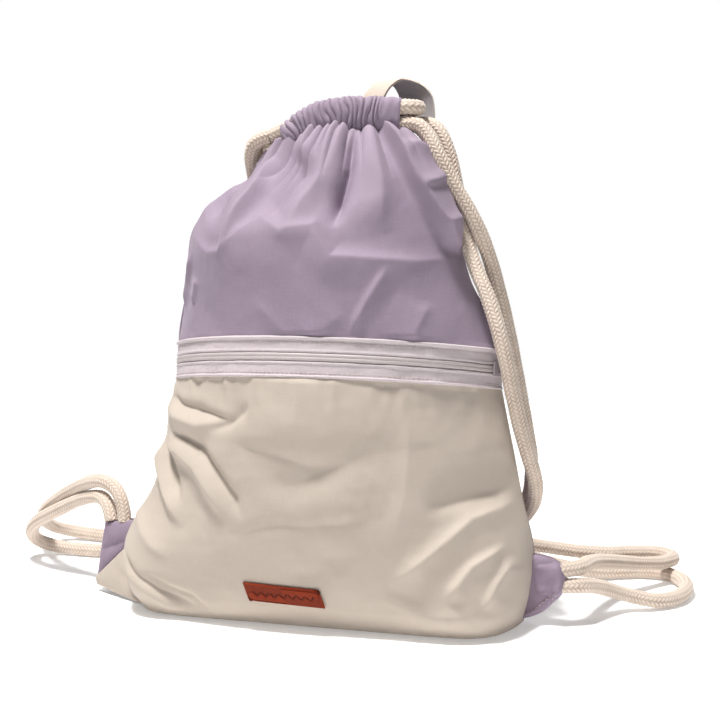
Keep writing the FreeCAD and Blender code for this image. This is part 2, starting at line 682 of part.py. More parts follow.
RIGHT_HEM = [
    ("Sizes.right_ear_toe", "Sizes.ear_foot"), ("Sizes.right_ear_tip", "Sizes.right_ear_low"),
    ("Sizes.right_ear_tip", "Sizes.right_ear_low + Sizes.hem_wide"),
    ("Sizes.right_ear_toe", "Sizes.ear_foot + Sizes.hem_wide"),
]
LEFT_HEM = [
    ("Sizes.left_ear_tip", "Sizes.ear_foot"), ("Sizes.left_ear_tip", "Sizes.left_ear_high"),
    ("Sizes.left_ear_tip - Sizes.hem_wide", "Sizes.left_ear_high"),
    ("Sizes.left_ear_tip - Sizes.hem_wide", "Sizes.ear_foot"),
]


def corner_hem(label, side, outline):
    """Folded and stitched edge on the front of a corner patch."""
    body = new_body(label)
    sketch = new_sketch(body, label + "_outline", "XZ_Plane")
    sketch.setExpression("AttachmentOffset.Base.z", "Sizes.ear_thick / 2")
    polygon(sketch, [(f"{side} * ({x})", z) for x, z in outline])
    pad(body, label + "_cloth", sketch, "Sizes.hem_thick")


# ---------------------------------------------------------------- label and hang loop

def leather_label():
    """Curved strip of leather sewn low on the pocket, leaning as the cloth does there."""
    body = new_body("leather_label")
    radius = "((Sizes.hip_half^2 + Sizes.hip_front^2) / (2 * Sizes.hip_front))"
    share = "((Sizes.label_height - Sizes.low_height) / (Sizes.hip_height - Sizes.low_height))"
    surface = f"(Sizes.low_front + (Sizes.hip_front - Sizes.low_front) * {share})"
    middle = f"(Sizes.low_shift + (Sizes.hip_shift - Sizes.low_shift) * {share})"
    lean = "atan((Sizes.hip_front - Sizes.low_front) / (Sizes.hip_height - Sizes.low_height))"
    inside = f"({radius} + Sizes.label_gap)"
    left = f"((Sizes.label_long / 2 + Sizes.label_shift) / {radius} * 1 rad)"
    right = f"((Sizes.label_long / 2 - Sizes.label_shift) / {radius} * 1 rad)"
    body.Placement = FreeCAD.Placement(
        FreeCAD.Vector(), FreeCAD.Rotation(FreeCAD.Vector(1, 0, 0), 1))
    body.setExpression("Placement.Rotation.Angle", lean)
    body.setExpression("Placement.Base.x", middle)
    body.setExpression("Placement.Base.y", f"{radius} * cos({lean}) - {surface}")
    body.setExpression("Placement.Base.z", f"Sizes.label_height + {radius} * sin({lean})")
    sketch = new_sketch(body, "label_section")
    r = number(inside)
    thick = number("Sizes.label_thick")
    first = -math.pi / 2 - number("Sizes.label_long / 2 + Sizes.label_shift") / r
    last = -math.pi / 2 + number("Sizes.label_long / 2 - Sizes.label_shift") / r
    up = FreeCAD.Vector(0, 0, 1)
    for size in (r, r + thick):
        whole = Part.Circle(FreeCAD.Vector(), up, size)
        sketch.addGeometry(Part.ArcOfCircle(whole, first, last), False)
    join_ends(sketch, 0, 1, 1)
    join_ends(sketch, 0, 1, 2)
    for arc, size in ((0, inside), (1, f"({inside} + Sizes.label_thick)")):
        sketch.addConstraint(Sketcher.Constraint("Coincident", arc, 3, -1, 1))
        bind(sketch, "Radius", arc, size=size)
        bind(sketch, "DistanceX", -1, 1, arc, 1, size=f"-({size} * sin({left}))")
        bind(sketch, "DistanceX", -1, 1, arc, 2, size=f"{size} * sin({right})")
    pad(body, "label_height", sketch, "Sizes.label_high", midplane=True)


def hang_loop():
    """Loop of flat webbing sewn to the back casing, bowed up and over to the right."""
    body = new_body("hang_loop")
    body.Placement = FreeCAD.Placement(
        FreeCAD.Vector(), FreeCAD.Rotation(FreeCAD.Vector(1, 0, 0), -1))
    body.setExpression("Placement.Rotation.Angle", "-Sizes.loop_lean")
    body.setExpression("Placement.Base.x", "Sizes.loop_across")
    body.setExpression("Placement.Base.y", "Sizes.loop_depth")
    body.setExpression("Placement.Base.z", "Sizes.loop_height")
    sketch = new_sketch(body, "loop_outline", "XZ_Plane")
    up = FreeCAD.Vector(0, 0, 1)
    first = math.radians(number("Sizes.loop_from"))
    last = math.radians(number("Sizes.loop_to"))
    radius = number("Sizes.loop_radius")
    for size in (radius, radius - number("Sizes.loop_thick")):
        sketch.addGeometry(Part.ArcOfCircle(Part.Circle(FreeCAD.Vector(), up, size), first, last), False)
    join_ends(sketch, 0, 1, 1)
    join_ends(sketch, 0, 1, 2)
    for arc, size in ((0, "Sizes.loop_radius"), (1, "Sizes.loop_radius - Sizes.loop_thick")):
        sketch.addConstraint(Sketcher.Constraint("Coincident", arc, 3, -1, 1))
        bind(sketch, "Radius", arc, size=size)
        bind(sketch, "DistanceX", -1, 1, arc, 1, size=f"({size}) * cos(Sizes.loop_from)")
        bind(sketch, "DistanceY", -1, 1, arc, 2, size=f"({size}) * sin(Sizes.loop_to)")
    pad(body, "loop_width", sketch, "Sizes.loop_wide", midplane=True)


# ---------------------------------------------------------------- build

pocket_panel()
pocket_lining()
upper_front_panel()
back_panel()
zip_tapes_and_coils()
zip_slider()
zip_pull()
casing("casing_front", FRONT)
casing("casing_back", BACK)
channel_cord("channel_cord_left", 1, "Sizes.cord_pitch / 2")
channel_cord("channel_cord_right", -1, "-Sizes.cord_pitch / 2")
corner_patch("corner_patch_right", 1, RIGHT_EAR)
corner_patch("corner_patch_left", -1, LEFT_EAR)
corner_hem("corner_hem_right", 1, RIGHT_HEM)
corner_hem("corner_hem_left", -1, LEFT_HEM)
leather_label()
hang_loop()
for name, route in CORD_ROUTES.items():
    free_cord(name, route)
doc.recompute()

failed = []
for item in doc.Objects:
    if "Invalid" in item.State or "Error" in item.State:
        failed.append(f"{item.Name}: {item.State}")
for part in PARTS:
    if part.Shape.isNull() or not part.Shape.isValid():
        failed.append(f"{part.Label}: bad shape")
if failed:
    raise SystemExit("\n".join(failed))

os.makedirs("parts", exist_ok=True)
for part in PARTS:
    part.Shape.exportStep(f"parts/{part.Label}.step")
    box = part.Shape.BoundBox
    print(f"{part.Label:22s} vol {part.Shape.Volume:10.1f} solids {len(part.Shape.Solids)}"
          f"  x {box.XMin:7.1f} {box.XMax:7.1f}  y {box.YMin:7.1f} {box.YMax:7.1f}"
          f"  z {box.ZMin:7.1f} {box.ZMax:7.1f}")
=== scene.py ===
import math
import random

import bpy
import numpy as np
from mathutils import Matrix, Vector


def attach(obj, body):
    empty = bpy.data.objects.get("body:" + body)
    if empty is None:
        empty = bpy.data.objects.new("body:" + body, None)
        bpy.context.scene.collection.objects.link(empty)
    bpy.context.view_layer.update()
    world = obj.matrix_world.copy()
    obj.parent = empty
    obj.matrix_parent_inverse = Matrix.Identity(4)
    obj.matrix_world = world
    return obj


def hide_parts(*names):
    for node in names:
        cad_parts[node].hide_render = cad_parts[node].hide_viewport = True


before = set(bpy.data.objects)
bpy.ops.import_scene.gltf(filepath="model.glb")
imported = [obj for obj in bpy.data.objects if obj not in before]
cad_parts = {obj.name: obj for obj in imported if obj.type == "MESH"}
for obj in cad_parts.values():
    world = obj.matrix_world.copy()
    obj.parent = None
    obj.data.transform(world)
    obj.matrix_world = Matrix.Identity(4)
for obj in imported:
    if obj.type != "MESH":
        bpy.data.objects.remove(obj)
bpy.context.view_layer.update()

MM = 0.001
scene = bpy.context.scene


# ---- camera

def make_camera():
    """Low view from a little to the right of the bag's front."""
    data = bpy.data.cameras.new("view")
    data.lens = 67.8
    data.sensor_width = 36
    camera = bpy.data.objects.new("view", data)
    scene.collection.objects.link(camera)
    camera.location = (0.312, -1.013, 0.300)
    look_down, turn_left = 5.5, 16
    camera.rotation_euler = (math.radians(90 - look_down), 0, math.radians(turn_left))
    scene.camera = camera


make_camera()


# ---- helpers

def keep(name, vertices, faces, uvs=None):
    """A mesh object, with one UV per vertex; faces come as an array, or as a list if their corners vary."""
    mesh = bpy.data.meshes.new(name)
    faces = faces if isinstance(faces, list) else faces.tolist()
    mesh.from_pydata(np.asarray(vertices).tolist(), [], faces)
    if uvs is not None:
        layer = mesh.uv_layers.new(name="cloth")
        corner = np.empty(len(mesh.loops), dtype=np.int32)
        mesh.loops.foreach_get("vertex_index", corner)
        layer.data.foreach_set("uv", np.asarray(uvs, dtype=np.float32)[corner].ravel())
    mesh.polygons.foreach_set("use_smooth", [True] * len(mesh.polygons))
    mesh.update()
    thing = bpy.data.objects.new(name, mesh)
    scene.collection.objects.link(thing)
    return thing


def grid_faces(rows, columns, closed=False):
    """Quads of a grid whose vertices run along each row; closed joins each row's ends."""
    row, column = np.meshgrid(np.arange(rows - 1), np.arange(columns if closed else columns - 1),
                              indexing="ij")
    after = (column + 1) % columns
    return np.stack([row * columns + column, row * columns + after,
                     (row + 1) * columns + after, (row + 1) * columns + column], -1).reshape(-1, 4)


def grid_piece(name, points, faces=None, uvs=None):
    """A mesh object from a grid of points in millimetres, with UVs measured over it unless given."""
    faces = grid_faces(*points.shape[:2]) if faces is None else faces
    uvs = arc_uv(points * MM) if uvs is None else uvs.reshape(-1, 2) * MM
    return keep(name, points.reshape(-1, 3) * MM, faces, uvs)


def point_values(thing, name, values):
    """Stores one number per vertex for the materials to read."""
    layer = thing.data.attributes.new(name, "FLOAT", "POINT")
    layer.data.foreach_set("value", np.asarray(values, dtype=np.float32).ravel())


def dress(thing, material, slot, *cad_nodes):
    """Gives a piece of the bag its material, parents it to the bag and hides the CAD nodes that it stands
    for; slot is not used.
    """
    thing.data.materials.append(material)
    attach(thing, "bag")
    if cad_nodes:
        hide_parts(*cad_nodes)


def ease(x, low, high):
    t = np.clip((x - low) / (high - low), 0, 1)
    return t * t * (3 - 2 * t)


def monotone(xs, ys, x):
    """A smooth curve through points that never swings past them."""
    xs = np.asarray(xs, float)
    ys = np.asarray(ys, float)
    step = np.diff(xs)
    slope = np.diff(ys) / step
    tangent = np.zeros_like(ys)
    for k in range(1, len(xs) - 1):
        if slope[k - 1] * slope[k] > 0:
            w1 = 2 * step[k] + step[k - 1]
            w2 = step[k] + 2 * step[k - 1]
            tangent[k] = (w1 + w2) / (w1 / slope[k - 1] + w2 / slope[k])
    tangent[0] = slope[0]
    tangent[-1] = slope[-1]
    i = np.clip(np.searchsorted(xs, x) - 1, 0, len(xs) - 2)
    h = step[i]
    t = (x - xs[i]) / h
    return ((1 + 2 * t) * (1 - t) ** 2 * ys[i] + t * (1 - t) ** 2 * h * tangent[i]
            + t * t * (3 - 2 * t) * ys[i + 1] + t * t * (t - 1) * h * tangent[i + 1])


def through(rows, places):
    """A smooth curve through rows of numbers, read at places counted in rows."""
    rows = np.array(rows, float)
    return np.stack([monotone(np.arange(len(rows)), column, places) for column in rows.T], -1)


def ripple(x, z, size, seed, waves=14):
    """Soft random waves of about the given size, between -1 and 1."""
    draw = random.Random(seed)
    total = np.zeros_like(x)
    for _ in range(waves):
        turn = draw.uniform(0, 2 * math.pi)
        rate = 2 * math.pi / (size * draw.uniform(0.6, 1.7))
        phase = draw.uniform(0, 2 * math.pi)
        total += np.sin((x * math.cos(turn) + z * math.sin(turn)) * rate + phase)
    return total / math.sqrt(waves) / 1.4


def fold(x, z, route, height, left, right, ends=0.25, bluntness=0.7):
    """Height of a fold along a route: it falls off over left and right millimetres each side."""
    best = np.full(x.shape, 1e9)
    side = np.zeros(x.shape)
    along = np.zeros(x.shape)
    lengths = [math.dist(a, b) for a, b in zip(route, route[1:])]
    total = sum(lengths)
    done = 0
    for (ax, az), (bx, bz), length in zip(route, route[1:], lengths):
        dx, dz = (bx - ax) / length, (bz - az) / length
        t = (x - ax) * dx + (z - az) * dz
        inside = np.clip(t, 0, length)
        gap_x = x - (ax + inside * dx)
        gap_z = z - (az + inside * dz)
        gap = np.hypot(gap_x, gap_z)
        closer = gap < best
        best = np.where(closer, gap, best)
        side = np.where(closer, np.sign(dz * gap_x - dx * gap_z), side)
        along = np.where(closer, (done + t) / total, along)
        done += length
    reach = np.where(side > 0, right, left)
    blunt = np.sqrt(best ** 2 + bluntness ** 2) - bluntness
    fade = ease(along, -0.3 * ends, ends) * ease(1 - along, -0.3 * ends, ends)
    return height * np.exp(-(blunt / reach) ** 1.3) * fade


def surface_normals(points):
    """Unit normals of a grid of points, towards the outside for rows up and columns right."""
    along = np.gradient(points, axis=1)
    up = np.gradient(points, axis=0)
    normal = np.cross(along, up)
    length = np.linalg.norm(normal, axis=2, keepdims=True)
    return normal / np.maximum(length, 1e-12)


def arc_uv(points):
    """UVs in metres, measured over the grid's own surface."""
    def travelled(axis):
        steps = np.linalg.norm(np.diff(points, axis=axis), axis=2)
        start = np.zeros_like(np.take(steps, [0], axis=axis))
        return np.concatenate([start, np.cumsum(steps, axis=axis)], axis=axis)
    across = travelled(1)
    across -= across[:, points.shape[1] // 2][:, None]
    return np.stack([across, travelled(0)], -1).reshape(-1, 2)


def solidify(thing, thickness, offset=-1):
    modifier = thing.modifiers.new("thickness", "SOLIDIFY")
    modifier.thickness = thickness
    modifier.offset = offset
    return modifier


# ---- materials

def feed(tree, socket, value):
    """Links an input to another node's output, or sets its own number or colour."""
    if isinstance(value, bpy.types.NodeSocket):
        tree.links.new(value, socket)
    else:
        socket.default_value = (*value, 1) if socket.type == "RGBA" else value


def feed_all(tree, target, **inputs):
    """Feeds inputs by name, where an underscore stands for a space."""
    for name, value in inputs.items():
        feed(tree, target.inputs[name.replace("_", " ")], value)


def node(tree, kind, **inputs):
    made = tree.nodes.new("ShaderNode" + kind)
    feed_all(tree, made, **inputs)
    return made


def cloth_place(tree):
    """A piece's own coordinates, in metres over its surface."""
    made = node(tree, "UVMap")
    made.uv_map = "cloth"
    return made.outputs[0]


def stored(tree, name):
    """A number stored at each vertex by point_values."""
    made = node(tree, "Attribute")
    made.attribute_name = name
    return made.outputs["Fac"]


def new_material(name):
    material = bpy.data.materials.new(name)
    material.use_nodes = True
    tree = material.node_tree
    shader = tree.nodes["Principled BSDF"]
    return material, tree, shader


def maths(tree, operation, first, second=None):
    made = node(tree, "Math")
    made.operation = operation
    feed(tree, made.inputs[0], first)
    if second is not None:
        feed(tree, made.inputs[1], second)
    return made.outputs[0]


def plus(tree, first, second, share):
    """The first value plus a share of the second."""
    return maths(tree, "ADD", first, maths(tree, "MULTIPLY", second, share))


def mix_colour(tree, factor, first, second, blend="MIX"):
    made = node(tree, "Mix")
    made.data_type = "RGBA"
    made.blend_type = blend
    for index, value in ((0, factor), (6, first), (7, second)):
        feed(tree, made.inputs[index], value)
    return made.outputs[2]


def ramp(tree, value, stops):
    made = node(tree, "ValToRGB")
    while len(made.color_ramp.elements) < len(stops):
        made.color_ramp.elements.new(0.5)
    for element, (place, shade) in zip(made.color_ramp.elements, stops):
        element.position = place
        element.color = (shade, shade, shade, 1) if isinstance(shade, float) else (*shade, 1)
    tree.links.new(value, made.inputs[0])
    return made.outputs[0]


def threads_of(tree, place, pitches):
    """Sine waves across and along the cloth, each with its own pitch."""
    split = node(tree, "SeparateXYZ", Vector=place)
    return [maths(tree, "SINE", maths(tree, "MULTIPLY", split.outputs[axis], math.pi / pitch))
            for axis, pitch in enumerate(pitches)]


def weave(tree, place, pitch):
    """Height of a plain weave."""
    warp, weft = threads_of(tree, place, (pitch, pitch))
    over = maths(tree, "MULTIPLY", warp, weft)
    threads = maths(tree, "ADD", maths(tree, "ABSOLUTE", warp), maths(tree, "ABSOLUTE", weft))
    return plus(tree, maths(tree, "MULTIPLY", over, 0.5), threads, 0.25)


def relief(tree, shader, height, strength, distance):
    """Bump from a height, over any relief that the shader has already."""
    made = node(tree, "Bump", Strength=strength, Distance=distance, Height=height)
    normal = shader.inputs["Normal"]
    if normal.is_linked:
        feed(tree, made.inputs["Normal"], normal.links[0].from_socket)
    feed(tree, normal, made.outputs[0])


def noise(tree, place, scale, detail, stretch=(1, 1, 1)):
    spot = node(tree, "Mapping", Vector=place, Scale=stretch).outputs[0]
    return node(tree, "TexNoise", Vector=spot, Scale=scale, Detail=detail).outputs[0]


def cloth_material(name, colour, dark, light, pitch=0.5 * MM, bump=0.14, sheen_tint=(0.9, 0.85, 0.92)):
    """Woven cloth: fine weave with painted shade between its threads, uneven yarns, faint soiling, and a
    painted highlight on the ridges of its folds.
    """
    material, tree, shader = new_material(name)
    roughness = 0.72
    place = cloth_place(tree)
    threads = weave(tree, place, pitch)
    slub = noise(tree, place, 900, 2.0, (0.12, 1, 1))
    slub_up = noise(tree, place, 900, 2.0, (1, 0.12, 1))
    cloud = noise(tree, place, 14, 4.0)
    tint = mix_colour(tree, ramp(tree, cloud, [(0.3, 0.0), (0.7, 1.0)]), dark, colour)
    yarn = plus(tree, maths(tree, "MULTIPLY", slub, 0.5), slub_up, 0.5)
    tint = mix_colour(tree, ramp(tree, yarn, [(0.42, 0.0), (0.72, 0.6)]), tint, light)
    # painted highlight: lighter where the stored ridge value is high
    tint = mix_colour(tree, maths(tree, "MULTIPLY", stored(tree, "ridge"), 0.35), tint, light)
    # painted shade: darker in the gaps between the weave's threads
    shade = ramp(tree, threads, [(0.0, 0.90), (0.6, 1.0)])
    feed_all(tree, shader, Base_Color=mix_colour(tree, 1.0, tint, shade, "MULTIPLY"),
             Roughness=ramp(tree, yarn, [(0.3, roughness - 0.06), (0.7, roughness + 0.08)]),
             Specular_IOR_Level=0.25, Sheen_Weight=0.12, Sheen_Roughness=0.4, Sheen_Tint=sheen_tint)
    relief(tree, shader, plus(tree, threads, yarn, 0.7), bump, 0.25 * MM)
    relief(tree, shader, noise(tree, place, 55, 3.0, (1, 0.6, 1)), 0.16, 1.0 * MM)
    return material


def rope_material():
    """Soft braided yarn with painted shade: darker where the strands dip under each other."""
    material, tree, shader = new_material("rope_yarn")
    place = cloth_place(tree)
    # painted shade: dark in the braid's grooves, lighter on its crowns
    shade = ramp(tree, stored(tree, "braid"), [
        (0.0, (0.20, 0.135, 0.10)), (0.45, (0.50, 0.40, 0.33)), (1.0, (0.74, 0.63, 0.54))])
    cloud = noise(tree, place, 30, 3.0)
    tint = mix_colour(tree, ramp(tree, cloud, [(0.35, 0.0), (0.7, 0.5)]), shade, (0.60, 0.53, 0.45))
    feed_all(tree, shader, Base_Color=tint, Roughness=0.85, Specular_IOR_Level=0.2, Sheen_Weight=0.3,
             Sheen_Roughness=0.5)
    relief(tree, shader, noise(tree, place, 2400, 2.0, (1, 0.35, 1)), 0.35, 0.2 * MM)
    return material


def webbing_material(name, groove, crown, cast):
    """Flat webbing: ribs along its length, crossed by finer picks, with painted shade in the hollows between
    them.
    """
    material, tree, shader = new_material(name)
    place = cloth_place(tree)
    ribs, picks = (maths(tree, "ABSOLUTE", wave)
                   for wave in threads_of(tree, place, (1.5 * MM, 0.9 * MM)))
    height = plus(tree, ribs, picks, 0.5)
    # painted shade: the groove colour in the hollows, the crown colour on top
    shade = ramp(tree, height, [(0.2, groove), (1.0, crown)])
    cloud = noise(tree, place, 40, 2.0)
    tint = mix_colour(tree, ramp(tree, cloud, [(0.4, 0.0), (0.7, 0.6)]), shade, cast)
    feed_all(tree, shader, Base_Color=tint, Roughness=0.7, Sheen_Weight=0.15)
    relief(tree, shader, height, 0.5, 0.35 * MM)
    return material


def leather_material():
    """Waxed leather: pebbled grain, nearly black in the embossing."""
    material, tree, shader = new_material("label_hide")
    place = cloth_place(tree)
    grain = node(tree, "TexVoronoi", Vector=place, Scale=1500.0).outputs["Distance"]
    tint = mix_colour(tree, noise(tree, place, 90, 4.0), (0.15, 0.016, 0.004), (0.25, 0.032, 0.007))
    tint = mix_colour(tree, stored(tree, "ridge"), tint, (0.05, 0.008, 0.004))
    feed_all(tree, shader, Base_Color=tint, Specular_IOR_Level=0.12,
             Roughness=ramp(tree, grain, [(0.0, 0.62), (0.8, 0.46)]))
    relief(tree, shader, grain, 0.35, 0.2 * MM)
    return material


def plain_material(name, colour, roughness, metallic=0.0):
    """Painted metal or moulded nylon, with a fine uneven skin."""
    material, tree, shader = new_material(name)
    place = node(tree, "TexCoord").outputs["Object"]
    cloud = noise(tree, place, 700.0, 3.0)
    darker = tuple(0.8 * part for part in colour)
    feed_all(tree, shader, Base_Color=mix_colour(tree, cloud, darker, colour), Metallic=metallic,
             Roughness=ramp(tree, cloud, [(0.3, roughness - 0.05), (0.7, roughness + 0.08)]))
    relief(tree, shader, cloud, 0.1, 0.1 * MM)
    return material


LILAC = cloth_material("lilac_cloth", (0.285, 0.226, 0.290), (0.265, 0.208, 0.271), (0.325, 0.262, 0.327))
GREIGE = cloth_material("greige_cloth", (0.480, 0.415, 0.355), (0.46, 0.395, 0.335), (0.510, 0.445, 0.385),
                        sheen_tint=(0.95, 0.9, 0.85))
EAR = cloth_material("ear_cloth", (0.270, 0.208, 0.272), (0.245, 0.188, 0.250), (0.31, 0.245, 0.31))
LINING = cloth_material("lining_cloth", (0.40, 0.34, 0.38), (0.35, 0.30, 0.33), (0.45, 0.39, 0.43), bump=0.15)
TAPE = cloth_material("zip_tape", (0.55, 0.48, 0.50), (0.50, 0.44, 0.46), (0.62, 0.55, 0.56),
                      pitch=0.8 * MM, bump=0.4)
COIL = plain_material("zip_nylon", (0.50, 0.44, 0.44), 0.42)
METAL = plain_material("zip_paint", (0.40, 0.34, 0.36), 0.4, 0.2)
THREAD = plain_material("sewing_thread", (0.52, 0.43, 0.42), 0.7)
ROPE = rope_material()
# a grey copy of the pale webbing below, painted shade for the hang loop's inner face
WEBBING_PAINTED_SHADE = webbing_material("webbing_inside_painted_shade", (0.17, 0.16, 0.18), (0.29, 0.27, 0.28), (0.33, 0.29, 0.26))
WEBBING_PALE = webbing_material("webbing_outside", (0.42, 0.35, 0.29), (0.64, 0.54, 0.46), (0.6, 0.52, 0.42))
HIDE = leather_material()


# ---- ropes

CORD_RADIUS = 5.9 * MM
BRAID_COLUMNS = 10
BRAID_SIDES = 50
BRAID_STEP = 0.55 * MM
BRAID_PITCH = 3.2 * MM

ROUTES = {
    "cord_right_front": [
        (56.3, -5.0, 379.1), (66, -3.73, 380.8), (76.5, -4.5, 371), (85.5, -7, 354), (97.5, -5, 331),
        (111.5, -1.5, 308), (123, 5, 278), (131, 17, 240), (139, 26, 196), (146, 32, 153), (152, 39, 114),
        (147, 56, 84), (131, 78, 64), (113, 104, 46), (118, 134, 31), (148, 150, 24), (190, 158, 19),
        (222, 178, 18), (246, 182, 18), (258, 164, 18), (246, 142, 18), (228, 120, 22), (208, 85, 31),
        (197, 44, 40), (193, 8, 42.5), (178, 0, 41.6),
    ],
    "cord_right_rear": [
        (56.3, 14.2, 379.1), (67.5, 12.73, 381.06), (80, 11.5, 377.5), (88.5, 9.5, 361), (95, 7.5, 337),
        (100.5, 5.5, 306), (110.5, -3.5, 277), (127, -13.5, 245), (138, -18.5, 212), (145.5, -15, 172),
        (153, -6, 137), (160, 8, 108), (155, 28, 86), (139, 52, 66), (123, 82, 46), (128, 110, 28),
        (154, 124, 16), (192, 142, 6), (228, 162, 5.7), (254, 158, 5.7), (270, 128, 5.7),
        (268, 90, 5.7), (250, 62, 6), (222, 54, 13), (204, 28, 25), (193, 1, 31), (178, 0, 30),
    ],
    "cord_left_front": [
        (-49.2, -5.0, 372.5), (-61.5, -3.4, 370.3), (-69, 3, 360.5), (-71.5, 15, 346), (-79, 46, 321),
        (-85, 63, 284), (-87, 68, 236), (-91, 69, 186), (-95, 74, 136), (-99, 78, 90), (-106, 84, 48),
        (-122, 94, 15), (-152, 108, 5.7), (-205, 110, 5.7), (-258, 98, 5.7), (-302, 101, 6),
        (-317, 84, 17), (-300, 56, 38), (-264, 35, 56), (-226, 22, 74), (-198, 4, 76), (-194, 0, 58),
    ],
    "cord_left_rear": [
        (-49.2, 14.2, 372.5), (-60.5, 12.7, 370.5), (-68, 18, 362), (-70, 30, 349), (-68, 50, 324),
        (-70, 70, 290), (-72, 80, 240), (-74, 82, 186), (-77, 84, 136), (-80, 86, 90), (-86, 94, 48),
        (-100, 108, 16), (-128, 124, 5.7), (-178, 137, 5.7), (-228, 144, 5.7), (-276, 156, 5.7),
        (-316, 160, 7), (-328, 134, 18), (-312, 94, 38), (-278, 52, 58), (-240, 28, 80),
        (-206, 10, 92), (-184, 2, 80), (-182, 0, 58),
    ],
}


def spline_points(name, route):
    """Points read from a smooth curve whose control points are the route, in metres."""
    curve = bpy.data.curves.new(name + "_line", "CURVE")
    curve.dimensions = "3D"
    curve.resolution_u = 24
    spline = curve.splines.new("NURBS")
    spline.points.add(len(route) - 1)
    for point, (x, y, z) in zip(spline.points, route):
        point.co = (x * MM, y * MM, z * MM, 1)
    spline.order_u = 3
    spline.use_endpoint_u = True
    holder = bpy.data.objects.new(name + "_line", curve)
    scene.collection.objects.link(holder)
    bpy.context.view_layer.update()
    mesh = bpy.data.meshes.new_from_object(holder)
    points = np.array([vertex.co[:] for vertex in mesh.vertices])
    bpy.data.objects.remove(holder)
    bpy.data.curves.remove(curve)
    bpy.data.meshes.remove(mesh)
    return points


def evenly(points, step):
    """The same line with its points a fixed step apart."""
    lengths = np.concatenate([[0], np.cumsum(np.linalg.norm(np.diff(points, axis=0), axis=1))])
    count = max(8, int(lengths[-1] / step))
    places = np.linspace(0, lengths[-1], count + 1)
    return np.stack([np.interp(places, lengths, points[:, axis]) for axis in range(3)], -1), places


def carried_frames(line):
    """The two directions across a line at each of its points, turned as little as possible along it."""
    heading = np.gradient(line, axis=0)
    heading /= np.linalg.norm(heading, axis=1, keepdims=True)
    across = np.empty_like(line)
    start = np.cross(heading[0], (0.13, 0.21, 0.97))
    across[0] = start / np.linalg.norm(start)
    for index in range(1, len(line)):
        step = across[index - 1] - heading[index] * np.dot(across[index - 1], heading[index])
        across[index] = step / np.linalg.norm(step)
    return across, np.cross(heading, across)


def braid_height(angle, along):
    """0 in the grooves to 1 on the crowns of slanted stitches that lean the other way in each column."""
    around = angle * BRAID_COLUMNS / 2
    column = np.round(around / math.pi)
    local = around - column * math.pi
    lean = np.where(column % 2 == 0, 1.0, -1.0)
    phase = math.pi * along / BRAID_PITCH + lean * 0.85 * local + np.where(column % 2 == 0, 0, math.pi / 2)
    return np.abs(np.cos(local)) ** 0.4 * (0.1 + 0.9 * np.abs(np.cos(phase)) ** 0.8)


def braided_rope(name, cad_node, line):
    """A round braid along a line of points, closed at both ends."""
    core, stitch = CORD_RADIUS * 0.87, 0.95 * MM
    line, places = evenly(line, BRAID_STEP)
    across, other = carried_frames(line)
    angles = np.arange(BRAID_SIDES) * 2 * math.pi / BRAID_SIDES
    angle, along = np.meshgrid(angles, places)
    height = braid_height(angle, along)
    girth = 1 + 0.018 * np.sin(along / 0.013) + 0.014 * np.sin(along / 0.0047 + 2 * angle)
    reach = (core + stitch * height) * girth
    ring = (across[:, None, :] * (np.cos(angle) * reach)[:, :, None]
            + other[:, None, :] * (np.sin(angle) * reach)[:, :, None])
    points = line[:, None, :] + ring
    uvs = np.stack([angle * CORD_RADIUS, along], -1).reshape(-1, 2)
    last = (len(line) - 1) * BRAID_SIDES
    faces = grid_faces(len(line), BRAID_SIDES, True).tolist()
    faces += [list(reversed(range(BRAID_SIDES))), list(range(last, last + BRAID_SIDES))]
    rope = keep(name, points.reshape(-1, 3), faces, uvs)
    # braid height, which the yarn material turns into painted shade in the grooves
    point_values(rope, "braid", height)
    dress(rope, ROPE, "rope", cad_node)
    return rope


for label, route in ROUTES.items():
    centre = spline_points(label, route)
    rope = braided_rope(label + "_braid", label, centre)


# ---- the bag's shape, in millimetres

# heights of the zip's two edges and of the mouth, up the side seams
ZIP_LOW, ZIP_HIGH, MOUTH = 180, 207.62, 364
# half width of the zip, its bulge to the front, and how far it leans back in degrees
ZIP_HALF, ZIP_DEPTH, ZIP_LEAN = 133.5, 87, 9.5

# height, half width, bulge to the front, bulge to the back, sideways shift, lift of the front, droop
BELOW = [
    (0, 155, 64, 58, -3, 0, 0), (20, 161, 80, 77, -4, 0, 0), (49, 167, 88, 88, -7, 0, 0),
    (95, 152, 93, 93, -1, 0, 0), (139, 142, 93, 91, 0, 4, 0),
    (ZIP_LOW, ZIP_HALF, ZIP_DEPTH, 85, 0, ZIP_LEAN, 0),
]
ABOVE = [
    (ZIP_HIGH, ZIP_HALF, ZIP_DEPTH, 80, 0, ZIP_LEAN, 0), (262, 116, 84, 74, -8, 5, 0),
    (292, 109.5, 78, 65, -10.5, 1, 0), (330, 87.5, 52, 48, -2.5, -3, 3),
    (350, 66, 32, 32, 3, -2, 6.5), (MOUTH, 52, 13.5, 13.5, 6, 0, 8),
]
# how far back the seams above the zip stand from those below it
SEAM_STEP = 4.62
FRONT = -1
BACK = 1
MOUTH_DROOP = math.radians(8)
# the casings' middle line: level over the middle, sinking to the left end
CASING_X = [-56, -46, -37, -20, -4, 20, 60]
CASING_Z = [363, 365.5, 369.5, 380, 386, 388, 386.5]


def casing_level(x):
    """Height of the casings' middle line."""
    return monotone(CASING_X, CASING_Z, np.clip(x, CASING_X[0], CASING_X[-1]))


def station(stations, height):
    """Half width, front and back bulge, shift, lift and droop of the bag at a height up its seams."""
    table = np.array(stations, float)
    return [monotone(table[:, 0], column, height) for column in table[:, 1:].T]


